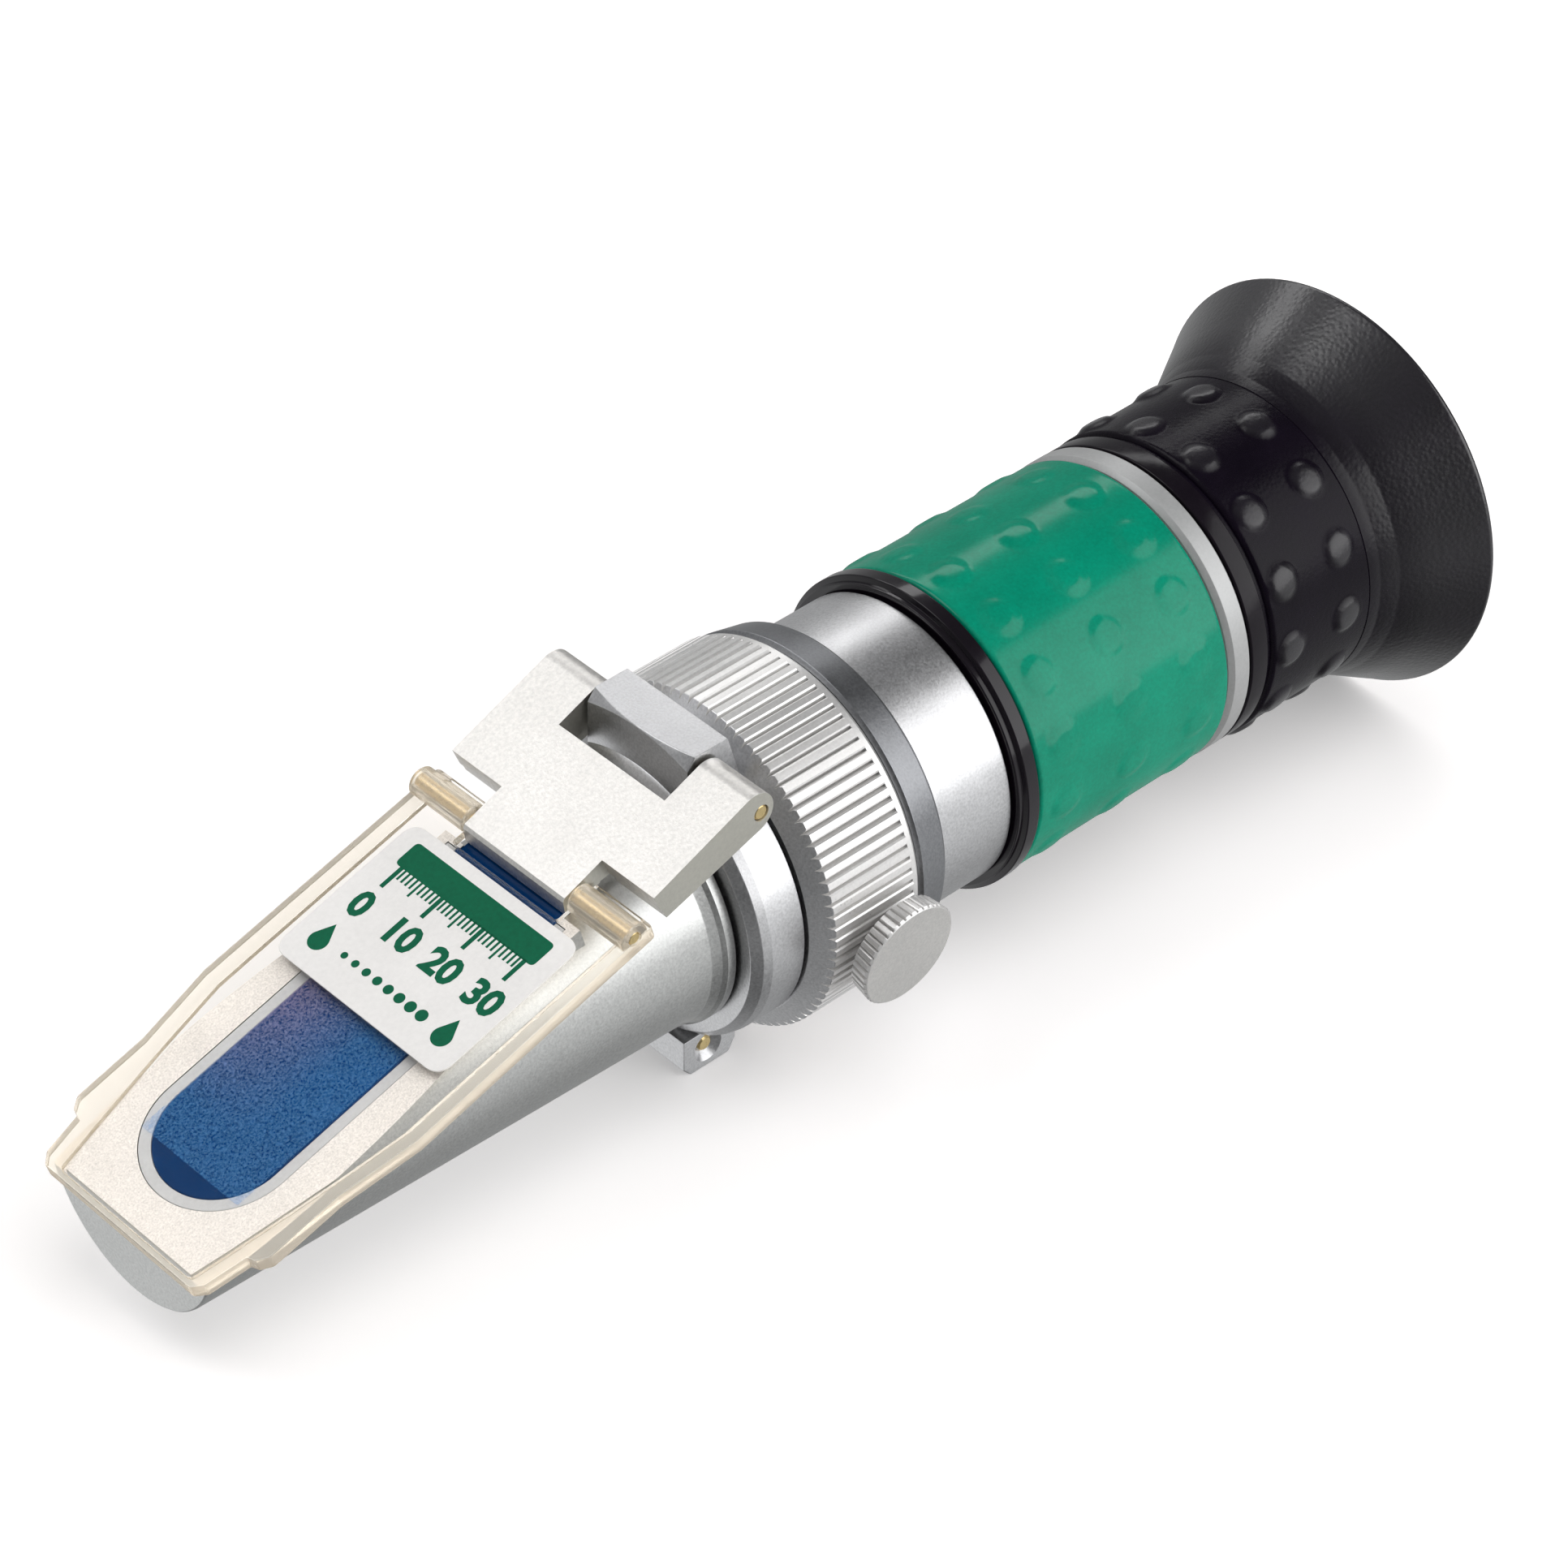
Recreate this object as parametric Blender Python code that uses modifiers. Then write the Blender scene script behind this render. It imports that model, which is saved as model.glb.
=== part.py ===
"""Handheld refractometer, built as separate sub-parts.

Frame: metres, +Z up. +X runs along the optical axis from the prism nose to the eyecup.
The origin is the centre of the flat foot under the lower hinge lug, and the optical axis
lies AXIS_HEIGHT above it. Sizes below are in millimetres.
"""

import math

import bmesh
import bpy
from mathutils import Matrix

MM = 0.001

# Clearances and mesh resolution.
GAP = 0.3
EASE = 0.15
OUTER_STEPS = 40
INNER_STEPS = 24
DOME_STEPS = 3
PIN_STEPS = 16

# Stations along the optical axis, from the nose to the eyecup.
AXIS_HEIGHT = 16.7
NOSE_X = -56.0
WAIST_X = -10.0
FLARE_FRONT_X = -6.1
FLARE_REAR_X = -3.3
FLARE_SHARES = (0.0, 0.55, 0.85, 1.0)
HOUSING_REAR_X = -2.4
TUBE_FRONT_X = -8.5
BORE_STEP_X = 5.0
COLLAR_FRONT_X = -2.1
COLLAR_REAR_X = 3.2
KNURL_FRONT_X = 3.5
TEETH_FRONT_X = 4.7
TEETH_REAR_X = 14.4
KNURL_REAR_X = 14.7
SHOULDER_CREST_X = 15.3
SHOULDER_EDGE_X = 18.1
SHOULDER_REAR_X = 18.4
BARREL_REAR_X = 27.4
FRONT_RING_X = 27.7
FRONT_RING_REAR_X = 29.7
GRIP_FRONT_X = 30.0
GRIP_REAR_X = 53.2
TRIM_REAR_X = 55.8
FOCUS_FRONT_X = 56.1
FOCUS_BAND_REAR_X = 58.4
FOCUS_BODY_X = 58.9
TUBE_REAR_X = 57.5
FOCUS_REAR_X = 71.2
NECK_REAR_X = 74.0
CUP_REAR_X = 82.2

# Radii of the turned outside.
NOSE_RADIUS = 10.1
NOSE_CHAMFER = 0.35
NOSE_REAR_RADIUS = 11.1
FLANGE_RADIUS = 11.85
COLLAR_RADIUS = 14.1
COLLAR_FACE_RADIUS = 13.2
COLLAR_BORE = 10.1
COLLAR_CREST_DROP = 0.2
KNURL_FACE_RADIUS = 14.3
KNURL_CORE_RADIUS = 15.55
KNURL_REAR_RADIUS = 15.2
KNURL_BAND_BORE = 14.4
TOOTH_TIP_RADIUS = 16.12
TOOTH_ROOT_RADIUS = 15.7
TOOTH_COUNT = 90
SHOULDER_RADIUS = 15.9
SHOULDER_FACE_RADIUS = 15.8
SHOULDER_EDGE_RADIUS = 15.3
SHOULDER_REAR_RADIUS = 15.0
BARREL_RADIUS = 13.8
GRIP_RADIUS = 14.76
RING_RADIUS = 14.97
RING_CHAMFER = 0.25
TRIM_CHAMFER = 0.15
FOCUS_RADIUS = 14.9
FOCUS_BAND_RADIUS = 14.8
FOCUS_GROOVE_RADIUS = 14.5
FOCUS_NECK_RADIUS = 13.0
FOCUS_CHAMFER = 0.3
CUP_BASE_RADIUS = 15.05
CUP_BASE_REAR_RADIUS = 15.2
CUP_WAIST_RADIUS = 15.8
CUP_MIDDLE_RADIUS = 17.9
CUP_RIM_RADIUS = 20.0
CUP_BORE = 11.6
CUP_MOUTH_RADIUS = 18.5
CUP_INNER_RADIUS = 15.2
CUP_BASE_REAR_X = 72.6
CUP_FLOOR_X = 75.3
CUP_WAIST_X = 74.2
CUP_MIDDLE_X = 78.0
CUP_LIP_X = 81.8
CUP_LIP_DEPTH = 0.6
CUP_LIP_DROP = 0.35

# Radii inside.
SPIGOT_RADIUS = 9.6
SPIGOT_BORE = 8.3
RING_SEAT_RADIUS = 12.7
GRIP_SEAT_RADIUS = 12.6
TUBE_BORE = 10.8
CELL_RADIUS = 10.5
EYEPIECE_FRONT_X = 46.0
EYEPIECE_REAR_X = 70.6
EYEPIECE_BORE = 9.4
OCULAR_RADIUS = 9.1
LENS_BORE = 7.9

# The helical drive of the ocular, shown as a recess inside the focus ring.
HELIX_FRONT_X = 62.0
HELIX_REAR_X = 68.0
HELIX_RADIUS = 12.4
FOCUS_BORE = 11.0
FOCUS_STEP_X = 57.8

# Lens cells: stations, lip at the front, clear aperture, bore and what they hold.
COMPENSATOR_FRONT_X = 5.5
COMPENSATOR_REAR_X = 15.0
COMPENSATOR_RADIUS = 10.4
COMPENSATOR_LIP = 1.3
COMPENSATOR_APERTURE = 7.2
COMPENSATOR_BORE = 8.6
COMPENSATOR_GLASS_REAR_X = 12.0
WEDGE_DROP = 2.0
OBJECTIVE_FRONT_X = 19.0
OBJECTIVE_REAR_X = 26.0
OBJECTIVE_LIP = 1.5
OBJECTIVE_APERTURE = 7.8
OBJECTIVE_BORE = 9.2
OBJECTIVE_THICKNESS = 3.1
OBJECTIVE_BULGE = 0.9
RETICLE_FRONT_X = 39.5
RETICLE_REAR_X = 45.5
RETICLE_LIP = 2.0
RETICLE_APERTURE = 8.2
RETICLE_BORE = 9.6
RETICLE_THICKNESS = 1.0
OCULAR_FRONT_X = 59.5
OCULAR_REAR_X = 73.6
OCULAR_LIP = 1.5
OCULAR_LENS_THICKNESS = 2.8
FIELD_BULGE = 0.8
EYE_BULGE = 0.7
SPACER_FRONT_X = 64.4
SPACER_REAR_X = 69.3
SPACER_BORE = 6.7
RETAINER_BORE = 6.4
RETAINER_WIDTH = 1.3

# O-ring between the housing and the tube.
O_RING_X = -6.0
O_RING_RADIUS = 9.38
O_RING_SECTION = 0.42
O_RING_GROOVE_WIDTH = 1.2
O_RING_GROOVE_RADIUS = 8.85

# Sloping prism face: its plane passes DECK_RISE above the optical axis at x = 0.
DECK_SLOPE = math.radians(16.63)
DECK_RISE = 14.04
WINDOW_CENTRE = -48.1
WINDOW_HALF_WIDTH = 6.07
SEAL_HALF_WIDTH = 7.17
SEAL_DEPTH = 1.2
SEAL_MARGIN = 0.15
SEAL_REAR = -17.6
SEAL_HOLE_REAR = -18.1
PRISM_FLOOR = -5.0
PRISM_EXIT_X = -17.55
PRISM_STOCK_REAR = -7.5
DECK_HALF_WIDTH = 8.2
DECK_FRONT = -36.0
DECK_REAR = -16.8
DECK_THICKNESS = 5.0
PAD_REAR = -10.0
PAD_REAR_HALF_WIDTH = 11.2
PAD_FRONT = -43.4
PAD_INSET = 2.0
REBATE_REAR = -9.0
REBATE_DEPTH = 0.66
LIGHT_BORE = 7.6
SOCKET_DEPTH_X = -9.0

# Cutters run past the stock by this much, or to this far outside the part.
PAST = 1.0
FAR = 80.0
HALF_LENGTH = 40.0

# Cover bracket, hinged on the upper block. Its own frame has the pin at the origin.
COVER_PIN_X = -0.35
COVER_PIN_Z = 15.35
COVER_SLOPE = math.radians(23.0)
BLOCK_HALF_WIDTH = 6.05
BLOCK_FRONT = -2.7
BLOCK_REAR = 3.0
BLOCK_FOOT = 12.2
BLOCK_SHOULDER = 13.9
BLOCK_TOP_REAR = 1.7
BLOCK_TOP = 18.1
ENVELOPE_FACE = 18.0
ENVELOPE_EDGE = 19.2
ENVELOPE_RIM = 19.6
NOTCH_HALF_WIDTH = 6.4
EAR_HALF_WIDTH = 12.27
TONGUE_HALF_WIDTH = 6.1
EAR_ROUND_CENTRE = (-0.58, 0.47)
EAR_ROUND_RADIUS = 2.02
EAR_ROUND_START = -92.0
BRACKET_TOP = 2.49
BRACKET_UNDERSIDE = -0.7
NOTCH_FRONT = -4.53
EAR_FRONT = -11.55
TONGUE_FRONT = -16.2
TONGUE_CHAMFER = 0.3
TONGUE_RAKE = 0.35
TONGUE_UNDERSIDE = 0.4
TONGUE_TIP_UNDERSIDE = 0.75
RELIEF_REAR = -3.0
RELIEF_REAR_Z = -1.2
RELIEF_FRONT = -12.6
RELIEF_FRONT_Z = 0.62
COVER_PIN_RADIUS = 0.7

# Daylight plate, hinged on the bracket's tongue. Its own frame has the hinge at the origin.
PLATE_PIN_X = -14.68
PLATE_PIN_Z = 10.95
PLATE_PIN_RADIUS = 0.6
PLATE_TOP = -0.244
SHEET_THICKNESS = 0.8
RIM_THICKNESS = 1.4
KNUCKLE_RADIUS = 1.36
KNUCKLE_END = 13.06
PLATE_FRONT = -44.5
PLATE_FRONT_HALF_WIDTH = 9.1
PLATE_REAR = 1.9
PLATE_HALF_WIDTH = 13.25
PLATE_REAR_HALF_WIDTH = 13.1
PLATE_SHOULDER = -24.0
PLATE_WAIST = -31.0
PLATE_WAIST_HALF_WIDTH = 12.2
PLATE_TAPER = -40.0
PLATE_TAPER_HALF_WIDTH = 10.6
PLATE_TIP_HALF_WIDTH = 9.85
TAB_FRONT = -39.6
TAB_HALF_WIDTH = 12.15
TAB_STEP = 0.2
TAB_REAR = -31.5
TAB_CORNER = 0.8
TAB_ROOT_HALF_WIDTH = 10.65
PLATE_CORNER = 0.85
FRONT_RIM = 0.65
RIM_WIDTH = 1.65
NOTCH_DEPTH = -2.6
# Distance along the slope from the deck frame to the plate hinge.
PLATE_PIN_SHIFT = (PLATE_PIN_X * math.cos(DECK_SLOPE)
                   + (PLATE_PIN_Z - DECK_RISE) * math.sin(DECK_SLOPE))
LABEL_FRONT = -19.0
LABEL_REAR = -3.2
LABEL_HALF_WIDTH = 10.25
LABEL_CORNER = 1.6
LABEL_LIFT = 0.1
LABEL_THICKNESS = 0.2

# Lower lug.
LUG_HALF_WIDTH = 6.2
LUG_FRONT = -2.95
LUG_REAR = 3.0
LUG_ROOT = -12.2
LUG_FOOT_FRONT = -2.1
LUG_FOOT_REAR = 2.25
LUG_FRONT_CORNER = -15.75
LUG_REAR_CORNER = -15.35
LUG_SINK_DEPTH = 0.6
LUG_SINK_RADIUS = 1.6
LUG_PIN_RECESS = 0.35
LUG_PIN_X = -0.2
LUG_PIN_Z = -14.5
LUG_PIN_RADIUS = 0.7

# Thumb knob, standing radially on the knurled ring.
KNOB_X = 10.37
KNOB_TILT = math.radians(5.9)
KNOB_FACE = 19.16
KNOB_BACK = 17.2
KNOB_RADIUS = 5.0
KNOB_TEETH = 44
KNOB_TOOTH_DEPTH = 0.16
KNOB_BOSS_RADIUS = 2.3
KNOB_BOSS_FOOT = 16.5
KNOB_SCREW_RADIUS = 1.2
KNOB_SCREW_FOOT = 13.35
KNOB_SCREW_HEAD = 18.0

# Drive pin of the compensator and guide pin of the ocular.
DRIVE_PIN_X = 10.3
DRIVE_PIN_RADIUS = 0.9
DRIVE_PIN_FOOT = 9.25
DRIVE_PIN_HEAD = 14.35
PIN_SPLIT_RADIUS = 12.0
DRIVE_SLOT_HALF_ANGLE = 80.0
GUIDE_PIN_X = 65.0
GUIDE_PIN_RADIUS = 0.8
GUIDE_PIN_FOOT = 8.45
GUIDE_PIN_HEAD = 12.0
OCULAR_TRAVEL = 1.5
RUNNING_CLEARANCE = 0.06

PARTS = bpy.data.collections.new("refractometer")
CUTTERS = bpy.data.collections.new("cutters")


def clear_scene():
    for item in list(bpy.data.objects):
        bpy.data.objects.remove(item, do_unlink=True)


def new_material(name, colour, roughness, metallic=0.0, transmission=0.0):
    surface = bpy.data.materials.new(name)
    surface.use_nodes = True
    shader = surface.node_tree.nodes["Principled BSDF"]
    shader.inputs["Base Color"].default_value = (*colour, 1.0)
    shader.inputs["Roughness"].default_value = roughness
    shader.inputs["Metallic"].default_value = metallic
    shader.inputs["Transmission Weight"].default_value = transmission
    surface.diffuse_color = (*colour, 1.0)
    return surface


def new_empty(name, x, z, rotation=(0.0, 0.0, 0.0)):
    """An empty in the mid plane; z is measured from the optical axis."""
    empty = bpy.data.objects.new(name, None)
    empty.empty_display_size = 0.005
    empty.location = (x * MM, 0.0, (AXIS_HEIGHT + z) * MM)
    empty.rotation_euler = rotation
    PARTS.objects.link(empty)
    return empty


def place(name, mesh, surface, frame):
    """Put a mesh in the parts, on a frame empty. With no surface it becomes a cutter."""
    item = bpy.data.objects.new(name, mesh)
    item.parent = frame
    if surface is None:
        CUTTERS.objects.link(item)
        item.hide_render = True
        item.display_type = "WIRE"
    else:
        PARTS.objects.link(item)
        mesh.materials.append(surface)
    return item


def arc(centre, radius, start, end, count):
    """Points on an arc, angles in degrees."""
    points = []
    for i in range(count + 1):
        angle = math.radians(start + (end - start) * i / count)
        points.append((centre[0] + radius * math.cos(angle), centre[1] + radius * math.sin(angle)))
    return points


def circle(radius, count, centre=(0.0, 0.0)):
    return arc(centre, radius, 0.0, 360.0 * (count - 1) / count, count - 1)


def mirrored(half):
    """Close a half outline of (length, half width) points by its mirror image."""
    other = [(x, -y) for x, y in reversed(half)]
    return half + other


def chamfered(front, rear, radius, chamfer):
    """Profile of a plain band with both edges chamfered."""
    return [(front, radius - chamfer), (front + chamfer, radius), (rear - chamfer, radius),
            (rear, radius - chamfer)]


def tooth_ring(count, tip, root):
    """Outline of a straight knurl."""
    points = []
    for i in range(count * 2):
        radius = tip if i % 2 else root
        angle = math.pi * i / count
        points.append((radius * math.cos(angle), radius * math.sin(angle)))
    return points


def turned(name, outer, inner, surface, frame, steps=OUTER_STEPS):
    """Turn (station, radius) profiles about the frame's local Z. No inner profile: solid."""
    if inner is None:
        loop = [(outer[-1][0], 0.0)] + outer[::-1] + [(outer[0][0], 0.0)]
        closed = False
    else:
        loop = outer[::-1] + inner
        closed = True
    count = len(loop)
    edges = [(i, i + 1) for i in range(count - 1)]
    if closed:
        edges.append((count - 1, 0))
    mesh = bpy.data.meshes.new(name)
    mesh.from_pydata([(radius * MM, 0.0, station * MM) for station, radius in loop], edges, [])
    item = place(name, mesh, surface, frame)
    screw = item.modifiers.new("turn", "SCREW")
    screw.axis = "Z"
    screw.steps = steps
    screw.render_steps = steps
    screw.use_merge_vertices = True
    screw.merge_threshold = 0.00001
    return item


def outline_mesh(name, outlines, low, high):
    """Fill flat outlines in the local XY plane and extrude them from low to high along Z."""
    curve = bpy.data.curves.new(name, "CURVE")
    curve.dimensions = "2D"
    curve.fill_mode = "BOTH"
    curve.extrude = 0.5 * (high - low) * MM
    for points in outlines:
        spline = curve.splines.new("POLY")
        spline.points.add(len(points) - 1)
        for target, point in zip(spline.points, points):
            target.co = (point[0] * MM, point[1] * MM, 0.0, 1.0)
        spline.use_cyclic_u = True
    carrier = bpy.data.objects.new(name, curve)
    bpy.context.scene.collection.objects.link(carrier)
    graph = bpy.context.evaluated_depsgraph_get()
    mesh = bpy.data.meshes.new_from_object(carrier.evaluated_get(graph))
    bpy.data.objects.remove(carrier, do_unlink=True)
    bpy.data.curves.remove(curve)
    mesh.materials.clear()
    work = bmesh.new()
    work.from_mesh(mesh)
    bmesh.ops.remove_doubles(work, verts=work.verts, dist=0.000001)
    bmesh.ops.recalc_face_normals(work, faces=work.faces)
    work.to_mesh(mesh)
    work.free()
    mesh.transform(Matrix.Translation((0.0, 0.0, 0.5 * (low + high) * MM)))
    return mesh


def extruded(name, outlines, low, high, surface, frame):
    return place(name, outline_mesh(name, outlines, low, high), surface, frame)


def side_profile(name, outline, low, high, surface, frame):
    """Extrude an outline drawn in the frame's XZ plane, from y = low to y = high."""
    mesh = outline_mesh(name, [outline], -high, -low)
    mesh.transform(Matrix.Rotation(math.radians(90.0), 4, "X"))
    return place(name, mesh, surface, frame)


def rod(name, radius, low, high, surface, frame, steps=PIN_STEPS, far_radius=None):
    """A cylinder or cone on the frame's local Z, from low to high."""
    work = bmesh.new()
    tip = radius if far_radius is None else far_radius
    bmesh.ops.create_cone(work, cap_ends=True, segments=steps, radius1=radius * MM,
                          radius2=tip * MM, depth=(high - low) * MM,
                          matrix=Matrix.Translation((0.0, 0.0, 0.5 * (low + high) * MM)))
    mesh = bpy.data.meshes.new(name)
    work.to_mesh(mesh)
    work.free()
    return place(name, mesh, surface, frame)


def boolean(target, tool, operation):
    step = target.modifiers.new(operation.lower(), "BOOLEAN")
    step.operation = operation
    step.object = tool
    step.solver = "EXACT"


def cut(target, tool):
    boolean(target, tool, "DIFFERENCE")


def join(target, tool):
    boolean(target, tool, "UNION")


def make_frames():
    """Empties on the joint axes. A turned part's local Z is the optical axis."""
    quarter = math.radians(90.0)
    return {
        "root": new_empty("root_frame", 0.0, 0.0),
        "axis": new_empty("optical_axis", 0.0, 0.0, (0.0, quarter, 0.0)),
        "deck": new_empty("deck_frame", 0.0, DECK_RISE, (0.0, -DECK_SLOPE, 0.0)),
        "cover": new_empty("cover_hinge", COVER_PIN_X, COVER_PIN_Z, (0.0, -COVER_SLOPE, 0.0)),
        "cover_pin": new_empty("cover_pin_axis", COVER_PIN_X, COVER_PIN_Z, (quarter, 0.0, 0.0)),
        "plate": new_empty("plate_hinge", PLATE_PIN_X, PLATE_PIN_Z, (0.0, -DECK_SLOPE, 0.0)),
        "plate_pin": new_empty("plate_pin_axis", PLATE_PIN_X, PLATE_PIN_Z, (quarter, 0.0, 0.0)),
        "lug_pin": new_empty("lug_pin_axis", LUG_PIN_X, LUG_PIN_Z, (quarter, 0.0, 0.0)),
        "knob": new_empty("knob_axis", KNOB_X, 0.0, (quarter + KNOB_TILT, 0.0, 0.0)),
        "drive": new_empty("drive_pin_axis", DRIVE_PIN_X, 0.0, (-quarter, 0.0, 0.0)),
        "guide": new_empty("guide_pin_axis", GUIDE_PIN_X, 0.0, (-quarter, 0.0, 0.0)),
    }


def make_materials():
    return {
        "satin_metal": new_material("satin_metal", (0.62, 0.62, 0.64), 0.38, 0.9),
        "knurl_metal": new_material("knurl_metal", (0.72, 0.72, 0.72), 0.3, 0.95),
        "dark_metal": new_material("dark_metal", (0.28, 0.29, 0.31), 0.4, 0.85),
        "bracket_metal": new_material("bracket_metal", (0.8, 0.79, 0.77), 0.55, 0.35),
        "brass": new_material("brass", (0.7, 0.55, 0.25), 0.3, 1.0),
        "clear_plastic": new_material("clear_plastic", (0.93, 0.9, 0.83), 0.08, 0.0, 0.9),
        "prism_glass": new_material("prism_glass", (0.03, 0.13, 0.4), 0.08, 0.0, 0.2),
        "lens_glass": new_material("lens_glass", (0.85, 0.92, 0.95), 0.02, 0.0, 0.95),
        "sealant": new_material("sealant", (0.72, 0.75, 0.76), 0.6),
        "label_film": new_material("label_film", (0.93, 0.92, 0.9), 0.5),
        "green_rubber": new_material("green_rubber", (0.01, 0.34, 0.19), 0.25),
        "black_plastic": new_material("black_plastic", (0.01, 0.01, 0.012), 0.15),
        "black_rubber": new_material("black_rubber", (0.015, 0.015, 0.017), 0.55),
        "black_metal": new_material("black_metal", (0.03, 0.03, 0.03), 0.6, 0.5),
    }


def window_outline(half_width, rear):
    """Window on the sloping face: a half round towards the tip, square towards the rear."""
    return arc((WINDOW_CENTRE, 0.0), half_width, 90.0, 270.0, 14) + [(rear, -half_width),
                                                                    (rear, half_width)]


def plate_half_outline(inset, front):
    """Half outline of the plate ahead of its shoulder, drawn in by inset."""
    return [(PLATE_SHOULDER, PLATE_HALF_WIDTH - inset), (PLATE_WAIST, PLATE_WAIST_HALF_WIDTH - inset),
            (PLATE_TAPER, PLATE_TAPER_HALF_WIDTH - inset), (front, PLATE_TIP_HALF_WIDTH - inset)]


def build_housing(frames, looks):
    deck = frames["deck"]
    flare_rise = FLANGE_RADIUS - NOSE_REAR_RADIUS
    flare_run = FLARE_REAR_X - FLARE_FRONT_X
    flare = [(FLARE_FRONT_X + share * flare_run, NOSE_REAR_RADIUS + share ** 3 * flare_rise)
             for share in FLARE_SHARES]
    housing = turned("prism_housing", [(NOSE_X, NOSE_RADIUS - NOSE_CHAMFER),
                                       (NOSE_X + NOSE_CHAMFER, NOSE_RADIUS),
                                       (WAIST_X, NOSE_REAR_RADIUS - RUNNING_CLEARANCE)]
                     + flare + [(HOUSING_REAR_X, FLANGE_RADIUS)],
                     None, looks["satin_metal"], frames["axis"])
    above = extruded("above_deck", [mirrored([(-FAR, FAR), (-REBATE_REAR, FAR)])], 0.0, FAR, None, deck)
    cut(housing, above)
    # The pad stands proud of a rebate that clears the cover's downturned rim.
    pad_half = [(PAD_REAR, PAD_REAR_HALF_WIDTH)] + [
        (x + PLATE_PIN_SHIFT, y) for x, y in plate_half_outline(PAD_INSET, PAD_FRONT)]
    field = mirrored([(-FAR, FAR), (REBATE_REAR, FAR)])
    rebate = extruded("rebate", [field, mirrored(pad_half)], -REBATE_DEPTH, PAST, None, deck)
    cut(housing, rebate)
    rear_deck = extruded("rear_deck", [mirrored([(DECK_FRONT, DECK_HALF_WIDTH),
                                                 (DECK_REAR, DECK_HALF_WIDTH)])],
                         -DECK_THICKNESS, 0.0, None, deck)
    join(housing, rear_deck)
    cut(housing, prism_block("prism_pocket", GAP, None, frames))
    seal_pocket = extruded("seal_pocket", [window_outline(SEAL_HALF_WIDTH + SEAL_MARGIN,
                                                          SEAL_REAR + SEAL_MARGIN)],
                           -SEAL_DEPTH - SEAL_MARGIN, PAST, None, deck)
    cut(housing, seal_pocket)
    light_bore = rod("light_bore", LIGHT_BORE, PRISM_EXIT_X - PAST, SOCKET_DEPTH_X + PAST, None,
                     frames["axis"], INNER_STEPS)
    cut(housing, light_bore)
    socket = rod("tube_socket", SPIGOT_RADIUS + GAP, SOCKET_DEPTH_X, PAST, None, frames["axis"],
                 INNER_STEPS)
    cut(housing, socket)


def prism_block(name, margin, surface, frames):
    """Wedge of glass under the window: flat floor, upright exit face at the rear."""
    top = 0.0 if surface else PAST
    block = extruded(name, [window_outline(WINDOW_HALF_WIDTH + margin, PRISM_STOCK_REAR)],
                     -HALF_LENGTH, top, surface, frames["deck"])
    floor_z = PRISM_FLOOR - margin
    below = side_profile(name + "_floor", [(-FAR, floor_z), (-FAR, -FAR), (HALF_LENGTH, -FAR),
                                           (HALF_LENGTH, floor_z)],
                         -COLLAR_RADIUS, COLLAR_RADIUS, None, frames["root"])
    exit_x = PRISM_EXIT_X + margin
    behind = side_profile(name + "_exit", [(exit_x, HALF_LENGTH), (exit_x, -FAR - PAST),
                                           (FAR, -FAR - PAST), (FAR, HALF_LENGTH)],
                          -COLLAR_RADIUS - PAST, COLLAR_RADIUS + PAST, None, frames["root"])
    cut(block, below)
    cut(block, behind)
    return block


def build_prism(frames, looks):
    prism_block("main_prism", 0.0, looks["prism_glass"], frames)
    extruded("prism_seal", [window_outline(SEAL_HALF_WIDTH, SEAL_REAR),
                            window_outline(WINDOW_HALF_WIDTH + SEAL_MARGIN, SEAL_HOLE_REAR)],
             -SEAL_DEPTH, 0.0, looks["sealant"], frames["deck"])


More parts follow.
